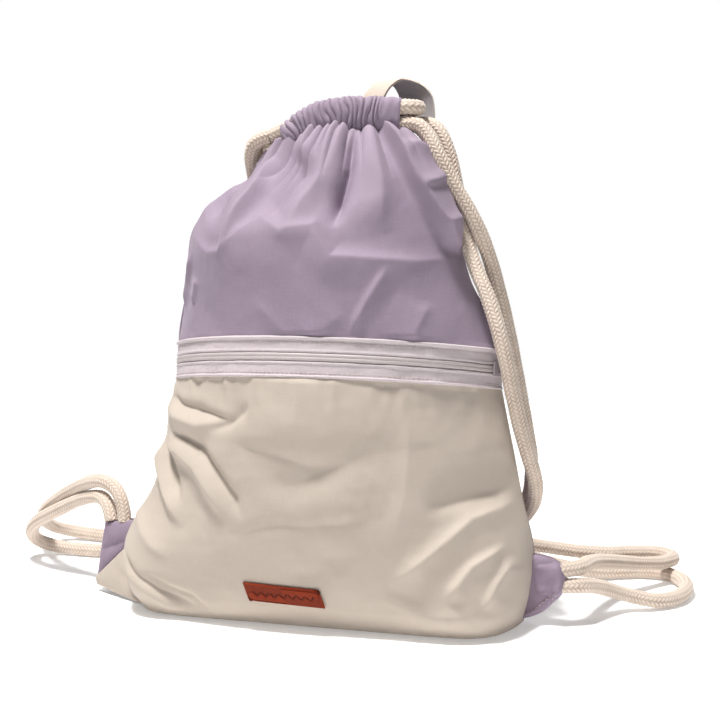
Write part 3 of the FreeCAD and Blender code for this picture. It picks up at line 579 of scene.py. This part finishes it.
def shell(stations, side, u, height, seam):
    """Points of the bag's skin: u from seam to seam, height up the seams."""
    half, front, back, shift, lift, droop = station(stations, height)
    depth = front if side == FRONT else back
    if side == BACK:
        lift = np.zeros_like(lift)
    radius = (half ** 2 + depth ** 2) / (2 * depth)
    angle = u * np.arcsin(np.clip(half / radius, -1, 1))
    x = radius * np.sin(angle)
    bulge = radius * np.cos(angle) - (radius - depth)
    squarer = 1 - ease(height, 0, 125)
    bulge = bulge * (1 - squarer) + depth * 0.94 * (1 - np.abs(u) ** 10) ** 0.8 * squarer
    y = side * bulge
    lift = np.radians(lift)
    droop = np.radians(droop)
    z = height - y * np.sin(lift) + x * np.sin(droop)
    x = shift + x * np.cos(droop)
    y = y * np.cos(lift) + seam
    gather = ease(height, 318, 363)
    casing_half_height = 12.5
    z = z + gather * (casing_level(x) - casing_half_height - (MOUTH + x * math.sin(MOUTH_DROOP)))
    return np.stack([x, y, z], -1)


def skin_piece(name, stations, side, low, high, columns, rows, seam, shape, under=None):
    """A cloth panel: the smooth skin pushed in and out along its normals by shape(x, z, u, height)."""
    grid_u, grid_h = np.meshgrid(np.linspace(-1, 1, columns), np.linspace(low, high, rows))
    offset = seam(grid_h) if callable(seam) else np.full(grid_h.shape, float(seam))
    points = shell(stations, side, grid_u, grid_h, offset)
    push = shape(points[..., 0], points[..., 2], grid_u, grid_h)
    moved = points + surface_normals(points) * -side * push[..., None]
    # ridge: where the cloth stands out past its middle, painted lighter by the cloth material as a highlight
    ridge = np.clip((push - np.median(push)) / 6, 0, 1)
    if under:
        tucked = under(moved)
        moved = np.concatenate([tucked, moved], axis=0)
        ridge = np.concatenate([np.zeros(tucked.shape[:2]), ridge], axis=0)
    faces = grid_faces(*moved.shape[:2])
    if side == BACK:
        faces = faces[:, ::-1]
    thing = grid_piece(name, moved, faces)
    point_values(thing, "ridge", ridge)
    return thing


def turned_under(moved):
    """Rows that carry the cloth in under the bag, from the middle line to the lowest row."""
    row_count, reach, clearance, rise = 22, 0.985, 0.7, 0.5
    share = np.linspace(0, reach, row_count)[:, None]
    rows = np.repeat(moved[:1], row_count, axis=0)
    rows[..., 1] *= share
    rows[..., 2] = clearance + rise * share
    return rows


LABEL_X = -14.5


def pocket_shape(x, z, u, height):
    """The pocket front: slack folds below the zip, a fuller belly, puckers along the zip's seam."""
    push = 2.0 * ripple(x, z, 95, 3) + 0.4 * ripple(x, z, 38, 4)
    pinch = ease(height, 135, 180)
    push += 0.7 * pinch * ripple(x, 0.25 * z, 14, 5)
    push += 0.15 * ripple(x, z, 16, 6)
    for crest in POCKET_FOLDS:
        push += fold(x, z, *crest)
    push *= 1 - np.exp(-((x - LABEL_X) / 36) ** 6 - ((height - 30) / 13) ** 4)
    edge = ease(1 - np.abs(u), 0.0, 0.10)
    foot = ease(height, 0, 14)
    top = ease(ZIP_LOW - height, 0, 5)
    return push * edge * foot * top


# of each fold: its crest or hollow as x, z points, its height, and its reach to the left and to the right
POCKET_FOLDS = [
    ([(-131, 168), (-108, 164), (-84, 163), (-52, 158)], -4.5, 3, 6),
    ([(-136, 160), (-112, 154), (-86, 152), (-54, 160)], 5.5, 9, 7),
    ([(-40, 170), (-58, 156), (-74, 150)], -3.0, 4, 5),
    ([(-124, 142), (-100, 140), (-84, 136), (-68, 120), (-52, 102), (-46, 88)], -5.5, 3, 5),
    ([(-132, 132), (-106, 128), (-86, 120), (-66, 96), (-54, 86)], 6.0, 12, 5),
    ([(-140, 140), (-124, 126), (-112, 110), (-102, 92)], -4.5, 3, 6),
    ([(-152, 128), (-136, 112), (-120, 94), (-100, 76)], 6.5, 12, 4),
    ([(-58, 142), (-20, 136), (10, 128), (34, 132)], -3.0, 8, 14),
    ([(-26, 108), (10, 120), (44, 136), (60, 150)], -3.2, 12, 12),
    ([(-60, 72), (-20, 82), (30, 86), (64, 92)], -2.2, 8, 8),
    ([(80, 170), (78, 140), (76, 108), (70, 72)], 2.6, 18, 6),
    ([(146, 106), (124, 104), (90, 98)], -4.0, 6, 12),
    ([(146, 96), (120, 88), (98, 68), (70, 44)], 6.0, 14, 5),
    ([(144, 68), (124, 56), (108, 34)], 5.0, 9, 3),
    ([(150, 58), (142, 44), (134, 26)], 4.0, 7, 2.4),
    ([(-166, 50), (-146, 36), (-120, 22), (-88, 10)], -4.5, 3, 5),
    ([(-160, 40), (-140, 28), (-112, 12), (-96, 6)], 4.5, 6, 6),
    ([(-134, 36), (-112, 26), (-92, 20), (-76, 8)], -3.6, 2.4, 5),
    ([(-168, 78), (-148, 70), (-126, 56), (-110, 50)], 3.6, 8, 5),
    ([(60, 30), (96, 20), (128, 20)], 2.4, 6, 9),
]


def upper_shape(x, z, u, height):
    """The gathered front: pleats that run down and out from the mouth and die before the zip."""
    top = ease(height, 326, 362)
    push = 1.2 * ripple(x, z, 80, 13) + 0.35 * ripple(x, z, 30, 14) + 0.1 * ripple(x, z, 13, 15)
    pleats = np.abs(np.sin((u + 0.09 * np.sin(4.3 * u + 0.6)) * math.pi * 7)) ** 0.7
    push += 4.2 * top * (pleats - 0.6)
    for crest in UPPER_FOLDS:
        push += fold(x, z, *crest)
    edge = ease(1 - np.abs(u), 0.0, 0.08)
    foot = ease(height, ZIP_HIGH, 214)
    return push * edge * foot


UPPER_FOLDS = [
    ([(-26, 380), (-50, 354), (-88, 328), (-113, 304)], 8, 9, 16),
    ([(-62, 344), (-78, 326), (-90, 306)], -6, 12, 10),
    ([(-12, 386), (-37, 350), (-53, 316), (-66, 282)], 13, 4, 26),
    ([(-3, 386), (-12, 366), (-16, 350)], 7, 4, 8),
    ([(-6, 350), (-20, 330), (-34, 308)], -6, 7, 8),
    ([(9, 388), (6, 361), (4, 336), (-16, 294)], 9.5, 10, 13),
    ([(21, 376), (22, 364), (24, 345), (20, 304)], -11, 3.2, 4.5),
    ([(28, 386), (38, 357), (46, 333), (52, 300)], 8.5, 9, 22),
    ([(34, 384), (50, 360), (66, 333), (79, 312), (92, 292), (106, 278)], 15, 34, 1.8),
    ([(53, 357), (67, 354), (84, 354)], 4.5, 3, 7),
    ([(69, 326), (77, 331), (85, 338)], 4.0, 6, 3),
    ([(84, 300), (96, 308)], 2.4, 4, 6),
    ([(-112, 300), (-96, 290), (-80, 282), (-66, 282), (-50, 296), (-34, 306), (-18, 296), (6, 300),
      (20, 280), (50, 278), (74, 276), (104, 278)], 5.5, 5, 16),
    ([(-104, 282), (-113, 262), (-120, 238)], 3.6, 2.4, 7),
    ([(-98, 262), (-104, 244)], 2.4, 2.4, 6),
    ([(58, 272), (46, 248), (36, 226)], 3.2, 7, 2.6),
    ([(30, 240), (16, 228), (4, 216)], 2.0, 6, 12),
    ([(86, 246), (80, 230), (76, 216)], 2.0, 4, 8),
    ([(-40, 250), (-20, 232), (-4, 216)], 1.8, 6, 10),
]


def back_shape(x, z, u, height):
    """The back: gathered at the mouth like the front, slack over the load, flat at the floor."""
    top = ease(height, 295, 356)
    push = 2.4 * ripple(x, z, 90, 23) + 0.9 * ripple(x, z, 36, 24) + 0.4 * ripple(x, z, 15, 25)
    pleats = np.abs(np.sin((u + 0.04 * np.sin(4 * u + 1)) * math.pi * 7.5)) ** 0.8
    push += 3.2 * top * (pleats - 0.6)
    for crest in BACK_FOLDS:
        push += fold(x, z, *crest)
    edge = ease(1 - np.abs(u), 0.0, 0.08)
    foot = ease(height, 0, 14)
    return push * edge * foot


BACK_FOLDS = [
    ([(-8, 362), (-30, 330), (-40, 280), (-36, 236)], 4.5, 8, 18),
    ([(24, 362), (34, 320), (30, 270)], 4.5, 16, 7),
    ([(44, 358), (74, 322), (88, 286)], 4.0, 16, 6),
    ([(0, 300), (4, 250), (-6, 200)], 2.6, 12, 8),
    ([(-60, 190), (-20, 150), (30, 130)], 2.8, 9, 15),
    ([(100, 200), (92, 150), (96, 100)], 2.6, 14, 7),
    ([(-40, 90), (10, 60), (70, 56)], 2.6, 9, 13),
    ([(110, 70), (80, 40), (50, 30)], 2.2, 8, 10),
    ([(-134, 70), (-100, 46), (-70, 36)], 2.2, 8, 10),
]


PANEL_THICK = 1.1 * MM
SKIN_FOOT = 0.9

pocket = skin_piece("pocket_cloth", BELOW, FRONT, SKIN_FOOT, ZIP_LOW, 330, 200, 0, pocket_shape, turned_under)
solidify(pocket, PANEL_THICK)
dress(pocket, GREIGE, "cloth_greige", "pocket_panel")

upper = skin_piece("upper_cloth", ABOVE, FRONT, ZIP_HIGH, MOUTH, 300, 170, SEAM_STEP, upper_shape)
solidify(upper, PANEL_THICK)
dress(upper, LILAC, "cloth_lilac", "upper_front_panel")

back = skin_piece("back_cloth", BELOW + ABOVE, BACK, SKIN_FOOT, MOUTH, 300, 380,
                  lambda height: SEAM_STEP * ease(height, ZIP_LOW, ZIP_HIGH), back_shape, turned_under)
solidify(back, PANEL_THICK)
dress(back, LILAC, "cloth_back", "back_panel")


INSET_SIDE, INSET_FRONT = 10, 26
LINING_TABLE = [(level, half - INSET_SIDE, front - INSET_FRONT, 1, shift, lift, droop)
                for level, half, front, _, shift, lift, droop in BELOW[1:] + ABOVE[:1]]
lining = skin_piece("lining_cloth", LINING_TABLE, FRONT, 20, 205, 110, 80, 0,
                    lambda x, z, u, height: ripple(x, z, 60, 31))
solidify(lining, 0.8 * MM)
dress(lining, LINING, "lining", "pocket_lining")


# ---- zip

ZIP_LIFT = math.radians(ZIP_LEAN)
ZIP_RADIUS = 145.927
ZIP_SWEEP = math.asin(ZIP_HALF / ZIP_RADIUS)


def on_zip(angle, across, proud):
    """A place on the zip: angle round its arc, distance up from its lower edge, height off the cloth."""
    radius = ZIP_RADIUS + proud
    x = radius * np.sin(angle)
    y = (ZIP_RADIUS - ZIP_DEPTH) - radius * np.cos(angle)
    return np.stack([x, y * math.cos(ZIP_LIFT) + across * math.sin(ZIP_LIFT),
                     ZIP_LOW - y * math.sin(ZIP_LIFT) + across * math.cos(ZIP_LIFT)], -1)


def zip_tape(name, cad_node, profile, seed):
    """A tape with folded edges, sewn to a panel: profile lists distance across and height off the cloth."""
    profile = np.array(profile, float)
    steps = np.linspace(0, 1, 34)
    reach = np.concatenate([[0], np.cumsum(np.hypot(*np.diff(profile, axis=0).T))])
    across = np.interp(steps * reach[-1], reach, profile[:, 0])
    proud = np.interp(steps * reach[-1], reach, profile[:, 1])
    angle, across = np.meshgrid(np.linspace(-ZIP_SWEEP, ZIP_SWEEP, 420), across)
    proud = np.broadcast_to(proud[:, None], angle.shape)
    arc = angle * ZIP_RADIUS
    wave = 0.35 * ripple(arc, across, 26, seed) + 0.12 * ripple(arc, across, 7, seed + 1)
    points = on_zip(angle, across, proud + wave)
    thing = grid_piece(name, points)
    # ridge: the tape's raised edges and piping, painted lighter by the tape material as a highlight
    point_values(thing, "ridge", np.clip(proud - 0.6, 0, 1))
    solidify(thing, 0.7 * MM)
    dress(thing, TAPE, "zip_tape", cad_node)


LOWER_PROFILE = [(-1.6, -0.6), (-1.2, 0.6), (-0.4, 1.3), (0.4, 1.0), (0.9, 0.2), (3.0, 0.1), (8.2, 0.1),
                 (8.7, 0.6), (9.5, 0.8), (10.2, 0.5), (10.6, -0.4), (11.2, -1.3), (13.8, -1.9)]
UPPER_PROFILE = [(14.2, -1.9), (16.6, -1.2), (17.0, -0.3), (17.4, 0.3), (18.2, 0.6), (19.0, 0.4), (19.6, 0.1),
                 (25.2, 0.1), (26.4, 0.3), (26.9, 1.3), (27.8, 1.7), (28.7, 1.2), (29.2, -0.4)]
zip_tape("zip_lower_tape", "zip_tape_lower", LOWER_PROFILE, 41)
zip_tape("zip_upper_tape", "zip_tape_upper", UPPER_PROFILE, 45)


def zip_coil(name, cad_node, middle, lean):
    """One row of the coil: a string of slanted nylon turns, its middle a distance up from the lower edge."""
    tooth = 1.6
    half_wide, half_deep, sunk = 1.65, 1.2, 0.3
    turns = int(2 * ZIP_SWEEP * ZIP_RADIUS / tooth)
    per_turn = 6
    sides = 12
    t = np.arange(turns * per_turn + 1) / per_turn
    ring = np.arange(sides) * 2 * math.pi / sides
    around, turn = np.meshgrid(ring, t)
    swell = 0.86 + 0.14 * np.abs(np.sin(math.pi * (turn + lean * np.sin(around) * 0.35)))
    across = middle + half_wide * np.cos(around) * swell
    proud = half_deep * np.sin(around) * swell - sunk
    angle = np.clip(turn * tooth / ZIP_RADIUS - ZIP_SWEEP, -ZIP_SWEEP, ZIP_SWEEP)
    points = on_zip(angle, across, proud)
    thing = grid_piece(name, points, grid_faces(*around.shape, True)[:, ::-1],
                       np.stack([around, turn * tooth], -1))
    dress(thing, COIL, "zip_coil", cad_node)


zip_coil("zip_lower_coil", "zip_coil_lower", 12.6, 1)
zip_coil("zip_upper_coil", "zip_coil_upper", 15.1, -1)

for cad_name in ("zip_slider", "zip_pull"):
    coats = bpy.data.objects[cad_name].data.materials
    coats.clear()
    coats.append(METAL)


# ---- stitching

def stitches(name, places, sides, slot):
    """A row of short rounded stitches; places are points, sides the cloth's normals there."""
    half_long, thick, sink = 1.3, 0.42, 0.18
    vertices = []
    faces = []
    outline = [(-1, 0.15), (-0.82, 0.62), (-0.4, 0.96), (0, 1), (0.4, 0.96), (0.82, 0.62), (1, 0.15)]
    sides_round = 6
    ring = np.arange(sides_round) * 2 * math.pi / sides_round
    for place, normal, heading in zip(places, sides, np.gradient(places, axis=0)):
        heading = heading / max(np.linalg.norm(heading), 1e-9)
        side = np.cross(heading, normal)
        side = side / max(np.linalg.norm(side), 1e-9)
        first = len(vertices)
        for along, girth in outline:
            middle = place + heading * (along * half_long) - normal * (sink * along * along)
            for angle in ring:
                offset = side * math.cos(angle) + normal * math.sin(angle) * 0.8
                vertices.append(middle + offset * (girth * thick))
        faces += (grid_faces(len(outline), sides_round, True) + first).tolist()
        last = len(vertices) - sides_round
        faces += [list(reversed(range(first, first + sides_round))), list(range(last, last + sides_round))]
    dress(keep(name, np.array(vertices) * MM, faces), THREAD, slot)


def zip_stitch_row(name, across, proud):
    """A row of stitches round the zip, a distance up from its lower edge and a height off the cloth."""
    spacing, bare_end = 3.6, 0.03
    angle = np.arange(-ZIP_SWEEP + bare_end, ZIP_SWEEP - bare_end, spacing / ZIP_RADIUS)
    across = np.full(angle.shape, float(across))
    places = on_zip(angle, across, np.full(angle.shape, float(proud)))
    outward = on_zip(angle, across, np.full(angle.shape, proud + 1.0)) - places
    stitches(name, places, outward, "zip_tape")


zip_stitch_row("zip_lower_stitches", 2.2, 0.35)
zip_stitch_row("zip_upper_stitches", 24.4, 0.35)


# ---- gathered casings

CASING_ENDS = {FRONT: (-37, 56), BACK: (-49, 57)}


def casing_centre(s, side):
    """The middle line of a casing at s from -1 (left end) to 1, and the line's direction."""
    left, right = CASING_ENDS[side]

    def at(t):
        x = (left + right) / 2 + (right - left) / 2 * t
        y = SEAM_STEP + side * (9.6 + 2.6 * (1 - t * t))
        return np.stack([x, y, casing_level(x)], -1)
    ahead = at(s + 0.01) - at(s - 0.01)
    return at(s), ahead / np.linalg.norm(ahead, axis=-1, keepdims=True)


def casing_cloth(name, cad_node, side, seed):
    """A tunnel of cloth gathered tightly on its cords: narrow puckers, smooth at its folded right end."""
    long_steps, round_steps = 460, 96
    half_deep, half_high, half_high_left = 7.0, 12.3, 11.0
    pucker_pitch, pucker_height = 4.5, 3.4
    half_long = (CASING_ENDS[side][1] - CASING_ENDS[side][0]) / 2
    s = np.linspace(-1, 1, long_steps)
    centre, ahead = casing_centre(s, side)
    outward = np.array([0, float(side), 0])
    up = np.cross(ahead, outward) * -side
    up /= np.linalg.norm(up, axis=1, keepdims=True)
    up *= np.sign(up[:, 2:3])
    angle, along = np.meshgrid(np.linspace(0, 2 * math.pi, round_steps, endpoint=False), s)
    high = half_high + (half_high_left - half_high) * ease(-along, 0.3, 1.0)
    squareness = (np.abs(np.cos(angle)) ** 2.6 + np.abs(np.sin(angle)) ** 2.6) ** (-1 / 2.6)
    place = along * half_long
    wobble = 1.0 * ripple(place, 9 * np.sin(angle), 22, seed)
    wobble += 0.35 * ripple(place, 6 * np.cos(angle), 9, seed + 1)
    beat = place / pucker_pitch + wobble * 0.5
    pucker = np.abs(np.sin(math.pi * beat)) ** 0.75
    uneven = 0.8 + 0.35 * ripple(place, 0 * place, 13, seed + 2)
    amount = ease(0.70 - along, 0, 0.10) * ease(along, -1.0, -0.80)
    end = ease(np.abs(along), 0.965, 1.0)
    push = amount * uneven * pucker_height * (pucker - 0.7)
    push += 0.35 * ripple(place, 8 * np.sin(angle), 7, seed + 3)
    reach_out = half_deep * squareness * (1 - 0.10 * end) + push
    reach_up = high * squareness * (1 - 0.06 * end) + push
    points = (centre[:, None, :] + outward * (np.cos(angle) * reach_out)[..., None]
              + up[:, None, :] * (np.sin(angle) * reach_up)[..., None])
    thing = grid_piece(name, points, grid_faces(long_steps, round_steps, True),
                       np.stack([place * 1.7, angle * 10.5], -1))
    # ridge: the crests of the puckers, painted lighter by the cloth material as a highlight
    point_values(thing, "ridge", np.clip(push / 2, 0, 1))
    solidify(thing, 0.8 * MM, 0)
    dress(thing, LILAC, "cloth_lilac", cad_node)


casing_cloth("casing_front_cloth", "casing_front", FRONT, 51)
casing_cloth("casing_back_cloth", "casing_back", BACK, 61)


def channel_rope(name, cad_node, turn_side, level, outer_cords):
    """One cord in the casings: in at one side's front, round the other end, and back out at a level."""
    s = np.linspace(-turn_side * 0.8, turn_side, 60)
    front = casing_centre(s, FRONT)[0]
    back = casing_centre(s[::-1], BACK)[0]
    bend = np.linspace(-math.pi / 2, math.pi / 2, 25)[1:-1]
    middle = (front[-1] + back[0]) / 2
    half = abs(back[0][1] - front[-1][1]) / 2
    turn = np.stack([middle[0] + turn_side * half * np.cos(bend), middle[1] + half * np.sin(bend),
                     np.full(bend.shape, middle[2])], -1)
    line = np.concatenate([front, turn, back]) + np.array([0, 0, level])
    first, last = (np.array(ROUTES[cord][:1], float) for cord in outer_cords)
    braided_rope(name, cad_node, np.concatenate([first, line, last]) * MM)


CORD_RISE = 5.6
channel_rope("channel_left_braid", "channel_cord_left", 1, CORD_RISE, ("cord_left_front", "cord_left_rear"))
channel_rope("channel_right_braid", "channel_cord_right", -1, -CORD_RISE,
             ("cord_right_front", "cord_right_rear"))


# ---- hang loop

def hang_loop():
    """A strap of webbing that arches up behind the casing, its pale face out and a grey copy of the webbing
    on its face in, as painted shade.
    """
    far_edge = [(12, 30, 378), (13, 30.5, 396), (19, 32, 409), (29, 34, 416), (38, 36, 413), (44, 37, 402),
                (46, 36, 388), (44, 28, 377)]
    near_edge = [(33, 22, 376), (33.5, 22, 396), (39, 24, 410), (50, 26, 416.5), (62, 28, 413), (72, 29, 402),
                 (74, 27, 387), (64, 21.5, 376)]
    rows, columns = 104, 26
    places = np.linspace(0, len(far_edge) - 1, rows)
    edges = [through(edge, places) for edge in (far_edge, near_edge)]
    share = np.linspace(0, 1, columns)[None, :, None]
    points = edges[0][:, None, :] * (1 - share) + edges[1][:, None, :] * share
    thing = grid_piece("hang_loop_webbing", points)
    dress(thing, WEBBING_PALE, "webbing", "hang_loop")
    # inner face: the grey copy of the webbing, painted shade
    thing.data.materials.append(WEBBING_PAINTED_SHADE)
    solidify(thing, 1.7 * MM, 0).material_offset = 1


hang_loop()


# ---- corner patches

def quilted(name, corners, bulge, material, slot, thickness, cad_nodes=(), creases=()):
    """A four-cornered patch of cloth, slightly full between its edges."""
    cells = 56
    corners = [np.array(corner, float) for corner in corners]
    a, b = np.meshgrid(np.linspace(0, 1, cells), np.linspace(0, 1, cells))
    a3, b3 = a[..., None], b[..., None]
    points = (corners[0] * (1 - a3) * (1 - b3) + corners[1] * a3 * (1 - b3)
              + corners[2] * a3 * b3 + corners[3] * (1 - a3) * b3)
    normal = np.cross(corners[1] - corners[0], corners[3] - corners[0])
    normal /= np.linalg.norm(normal)
    if normal[1] > 0:
        normal = -normal
    full = (16 * a * (1 - a) * b * (1 - b)) ** 0.5
    push = abs(bulge) * full + 0.45 * ripple(points[..., 0], points[..., 2], 13, len(name)) * full
    for crease in creases:
        push = push + fold(points[..., 0], points[..., 2], *crease)
    points = points + math.copysign(1, bulge) * normal * push[..., None]
    thing = grid_piece(name, points)
    # ridge: the cloth material paints the patch lighter towards its edges
    point_values(thing, "ridge", np.clip(1 - full * 3, 0, 1) * 0.6)
    solidify(thing, thickness * MM, 0)
    dress(thing, material, slot, *cad_nodes)
    return thing


ear = quilted("left_ear_front", [(-206, -2, 9), (-176, -7, 36), (-168, -3, 60), (-198, -1.5, 57)], 4.5, EAR,
              "ear_cloth", 2.2, ["corner_patch_left"], [([(-200, 34), (-176, 44)], -2.0, 3, 4)])
corner = quilted("left_corner_fold", [(-206, -4, 5), (-149, -37, 0.6), (-172, -14, 42), (-206, -5, 11)], 3.0,
                 GREIGE, "cloth_greige", 1.6, ["corner_hem_left"])
ear_back = quilted("left_ear_back", [(-206, 2, 5), (-150, 34, 1), (-166, 6, 61), (-198, 1.5, 57)], -4.5, EAR,
                   "ear_cloth", 2.0)

RIGHT_EAR_EDGE = [(140, 66), (149, 59), (159, 53.5), (171, 51.5), (181, 46), (184, 36), (182, 26), (174, 17),
                  (166, 9.5), (156, 5), (142, 2.6)]


def right_ear(name, side, *cad_nodes):
    """The right patch: from under the side seam to its curved edge, with a sleeve over each cord's end."""
    rows, columns = 110, 60
    root_x, root_top, root_foot = 132.0, 62, 8
    bulge, hem_wide, hem_high, sleeve_high, sleeve_reach = 4.5, 7.0, 1.1, 6.6, 7
    rim = through(RIGHT_EAR_EDGE, np.linspace(0, len(RIGHT_EAR_EDGE) - 1, rows))
    root = np.stack([np.full(rows, root_x), np.linspace(root_top, root_foot, rows)], -1)
    share, row = np.meshgrid(np.linspace(0, 1, columns), np.arange(rows))
    x = root[row, 0] * (1 - share) + rim[row, 0] * share
    z = root[row, 1] * (1 - share) + rim[row, 1] * share
    gap = (1 - share) * np.hypot(rim[row, 0] - root[row, 0], rim[row, 1] - root[row, 1])
    hem = ease(hem_wide - gap, 0, 1.2) * ease(row / rows, 0.52, 0.60)
    full = np.sqrt(np.clip(1 - share ** 6, 0, 1))
    cord_levels = [ROUTES[cord][-1][2] for cord in ("cord_right_front", "cord_right_rear")]
    cord_ends = sum(np.exp(-((z - level) / sleeve_reach) ** 4) for level in cord_levels)
    sleeve = sleeve_high * np.clip(cord_ends, 0, 1) * ease(x, 152, 168)
    sleeve *= ease(1 - share, 0, 0.06)
    push = np.maximum(bulge * full, sleeve) + hem_high * hem + 0.5 * ripple(x, z, 14, 71 + side)
    points = np.stack([x, side * (1.0 + push), z], -1)
    thing = grid_piece(name, points, grid_faces(rows, columns)[:, ::side])
    # ridge: the raised hem, painted lighter by the cloth material as a highlight
    point_values(thing, "ridge", np.clip(hem, 0, 1) * 0.5)
    solidify(thing, 1.2 * MM, 0)
    dress(thing, EAR, "ear_cloth", *cad_nodes)


right_ear("right_ear_front", FRONT, "corner_patch_right", "corner_hem_right")
right_ear("right_ear_back", BACK)


def hem_stitches():
    """Two rows of stitches along the lower half of the right patch's turned edge."""
    edge = RIGHT_EAR_EDGE[6:]
    count = 13
    inward = np.array([-0.62, 0, 0.78])
    x, z = through(edge, np.linspace(0.1, len(edge) - 1.05, count)).T
    for number, inset, front in ((1, 1.8, -4.9), (2, 5.2, -6.0)):
        line = np.stack([x, np.full(count, front), z], -1)
        stitches(f"hem_stitches_{number}", line + inward * inset, np.tile([0.0, -1.0, 0.0], (count, 1)),
                 "ear_cloth")


hem_stitches()


# ---- label

def label():
    """A strip of thick leather with a pressed border line and a row of pressed leaves."""
    columns, rows = 190, 58
    half_long, half_high, middle_level = 30, 8, 29.6
    round_corner, sharp_corner = 5.0, 1.4
    border_inset, border_wide = 1.7, 0.32
    leaf_pitch, leaf_lean, leaf_half_long, leaf_half_wide = 7.0, 0.9, 2.9, 0.75
    across, up = np.meshgrid(np.linspace(-half_long, half_long, columns),
                             np.linspace(-half_high, half_high, rows))
    inside_x = half_long - np.abs(across)
    inside_z = half_high - np.abs(up)
    corner = np.where(across * up > 0, round_corner, sharp_corner)
    past_x = np.clip(corner - inside_x, 0, None)
    past_z = np.clip(corner - inside_z, 0, None)
    cut = np.hypot(past_x, past_z)
    rim = np.minimum(np.minimum(inside_x, inside_z), corner - cut)
    pull = np.where(cut > corner, (cut - corner) / np.maximum(cut, 1e-6), 0)
    across = across - np.sign(across) * past_x * pull
    up = up - np.sign(up) * past_z * pull
    border = np.exp(-((rim - border_inset) / border_wide) ** 2)
    motif = np.zeros_like(across)
    for k in range(-3, 4):
        for lean in (-1, 1):
            dx = across - k * leaf_pitch - lean * 1.5
            dz = up + 0.2
            turn = leaf_lean * lean
            along = dx * math.cos(turn) + dz * math.sin(turn)
            off = -dx * math.sin(turn) + dz * math.cos(turn)
            leaf = np.exp(-(along / leaf_half_long) ** 4 - (off / leaf_half_wide) ** 4)
            motif = np.maximum(motif, leaf)
    pressed = np.maximum(border * 0.9, motif)
    height = 1.5 + 1.0 * ease(rim, 0, 1.1) - 0.75 * pressed
    level = middle_level + up * 0.93 - 0.03 * across
    place_x = LABEL_X + across - 0.22 * up
    half, front, _, shift, _, _ = station(BELOW, level)
    radius = (half ** 2 + front ** 2) / (2 * front)
    u = np.arcsin((place_x - shift) / radius) / np.arcsin(half / radius)
    points = shell(BELOW, FRONT, u, level, 0.0)
    points = points + surface_normals(points) * height[..., None]
    thing = grid_piece("label_leather", points, uvs=np.stack([across, up], -1))
    point_values(thing, "ridge", np.clip(pressed, 0, 1) * 0.85)
    solidify(thing, 1.5 * MM)
    dress(thing, HIDE, "label_leather", "leather_label")


label()


# ---- stage and light

def make_stage():
    size, level = 1.35, -0.0006
    corners = [(x * size, y * size, level) for x, y in ((-1, -1), (1, -1), (1, 1), (-1, 1))]
    floor = keep("floor", corners, [(0, 1, 2, 3)])
    material, tree, shader = new_material("pale_floor")
    feed_all(tree, shader, Base_Color=(0.90, 0.90, 0.90), Roughness=0.9, Emission_Color=(1, 1, 1),
             Emission_Strength=0.25)
    floor.data.materials.append(material)


def area_light(name, place, target, size, power, colour=(1, 1, 1)):
    data = bpy.data.lights.new(name, "AREA")
    data.shape = "DISK"
    data.size = size
    data.energy = power
    data.color = colour
    lamp = bpy.data.objects.new(name, data)
    lamp.location = place
    lamp.rotation_euler = (Vector(target) - Vector(place)).to_track_quat("-Z", "Y").to_euler()
    scene.collection.objects.link(lamp)


def make_light():
    world = bpy.data.worlds.new("studio")
    scene.world = world
    world.use_nodes = True
    tree = world.node_tree
    background = tree.nodes["Background"]
    feed_all(tree, background, Color=(1, 1, 1), Strength=0.11)
    seen = node(tree, "Background", Color=(1, 1, 1), Strength=1.0)
    rays = node(tree, "LightPath")
    mix = node(tree, "MixShader")
    tree.links.new(rays.outputs["Is Camera Ray"], mix.inputs[0])
    tree.links.new(background.outputs[0], mix.inputs[1])
    tree.links.new(seen.outputs[0], mix.inputs[2])
    tree.links.new(mix.outputs[0], tree.nodes["World Output"].inputs["Surface"])
    area_light("key", (-0.3, -0.42, 2.3), (0, 0, 0.2), 0.42, 92, (1.0, 0.985, 0.97))
    area_light("fill", (0.9, -2.1, 0.9), (0, 0, 0.2), 1.3, 6, (0.97, 0.98, 1.0))
    area_light("rim", (0.6, 1.8, 1.8), (0, 0, 0.2), 1.4, 16)
    scene.view_settings.view_transform = "Standard"
    scene.view_settings.look = "None"


make_stage()
make_light()
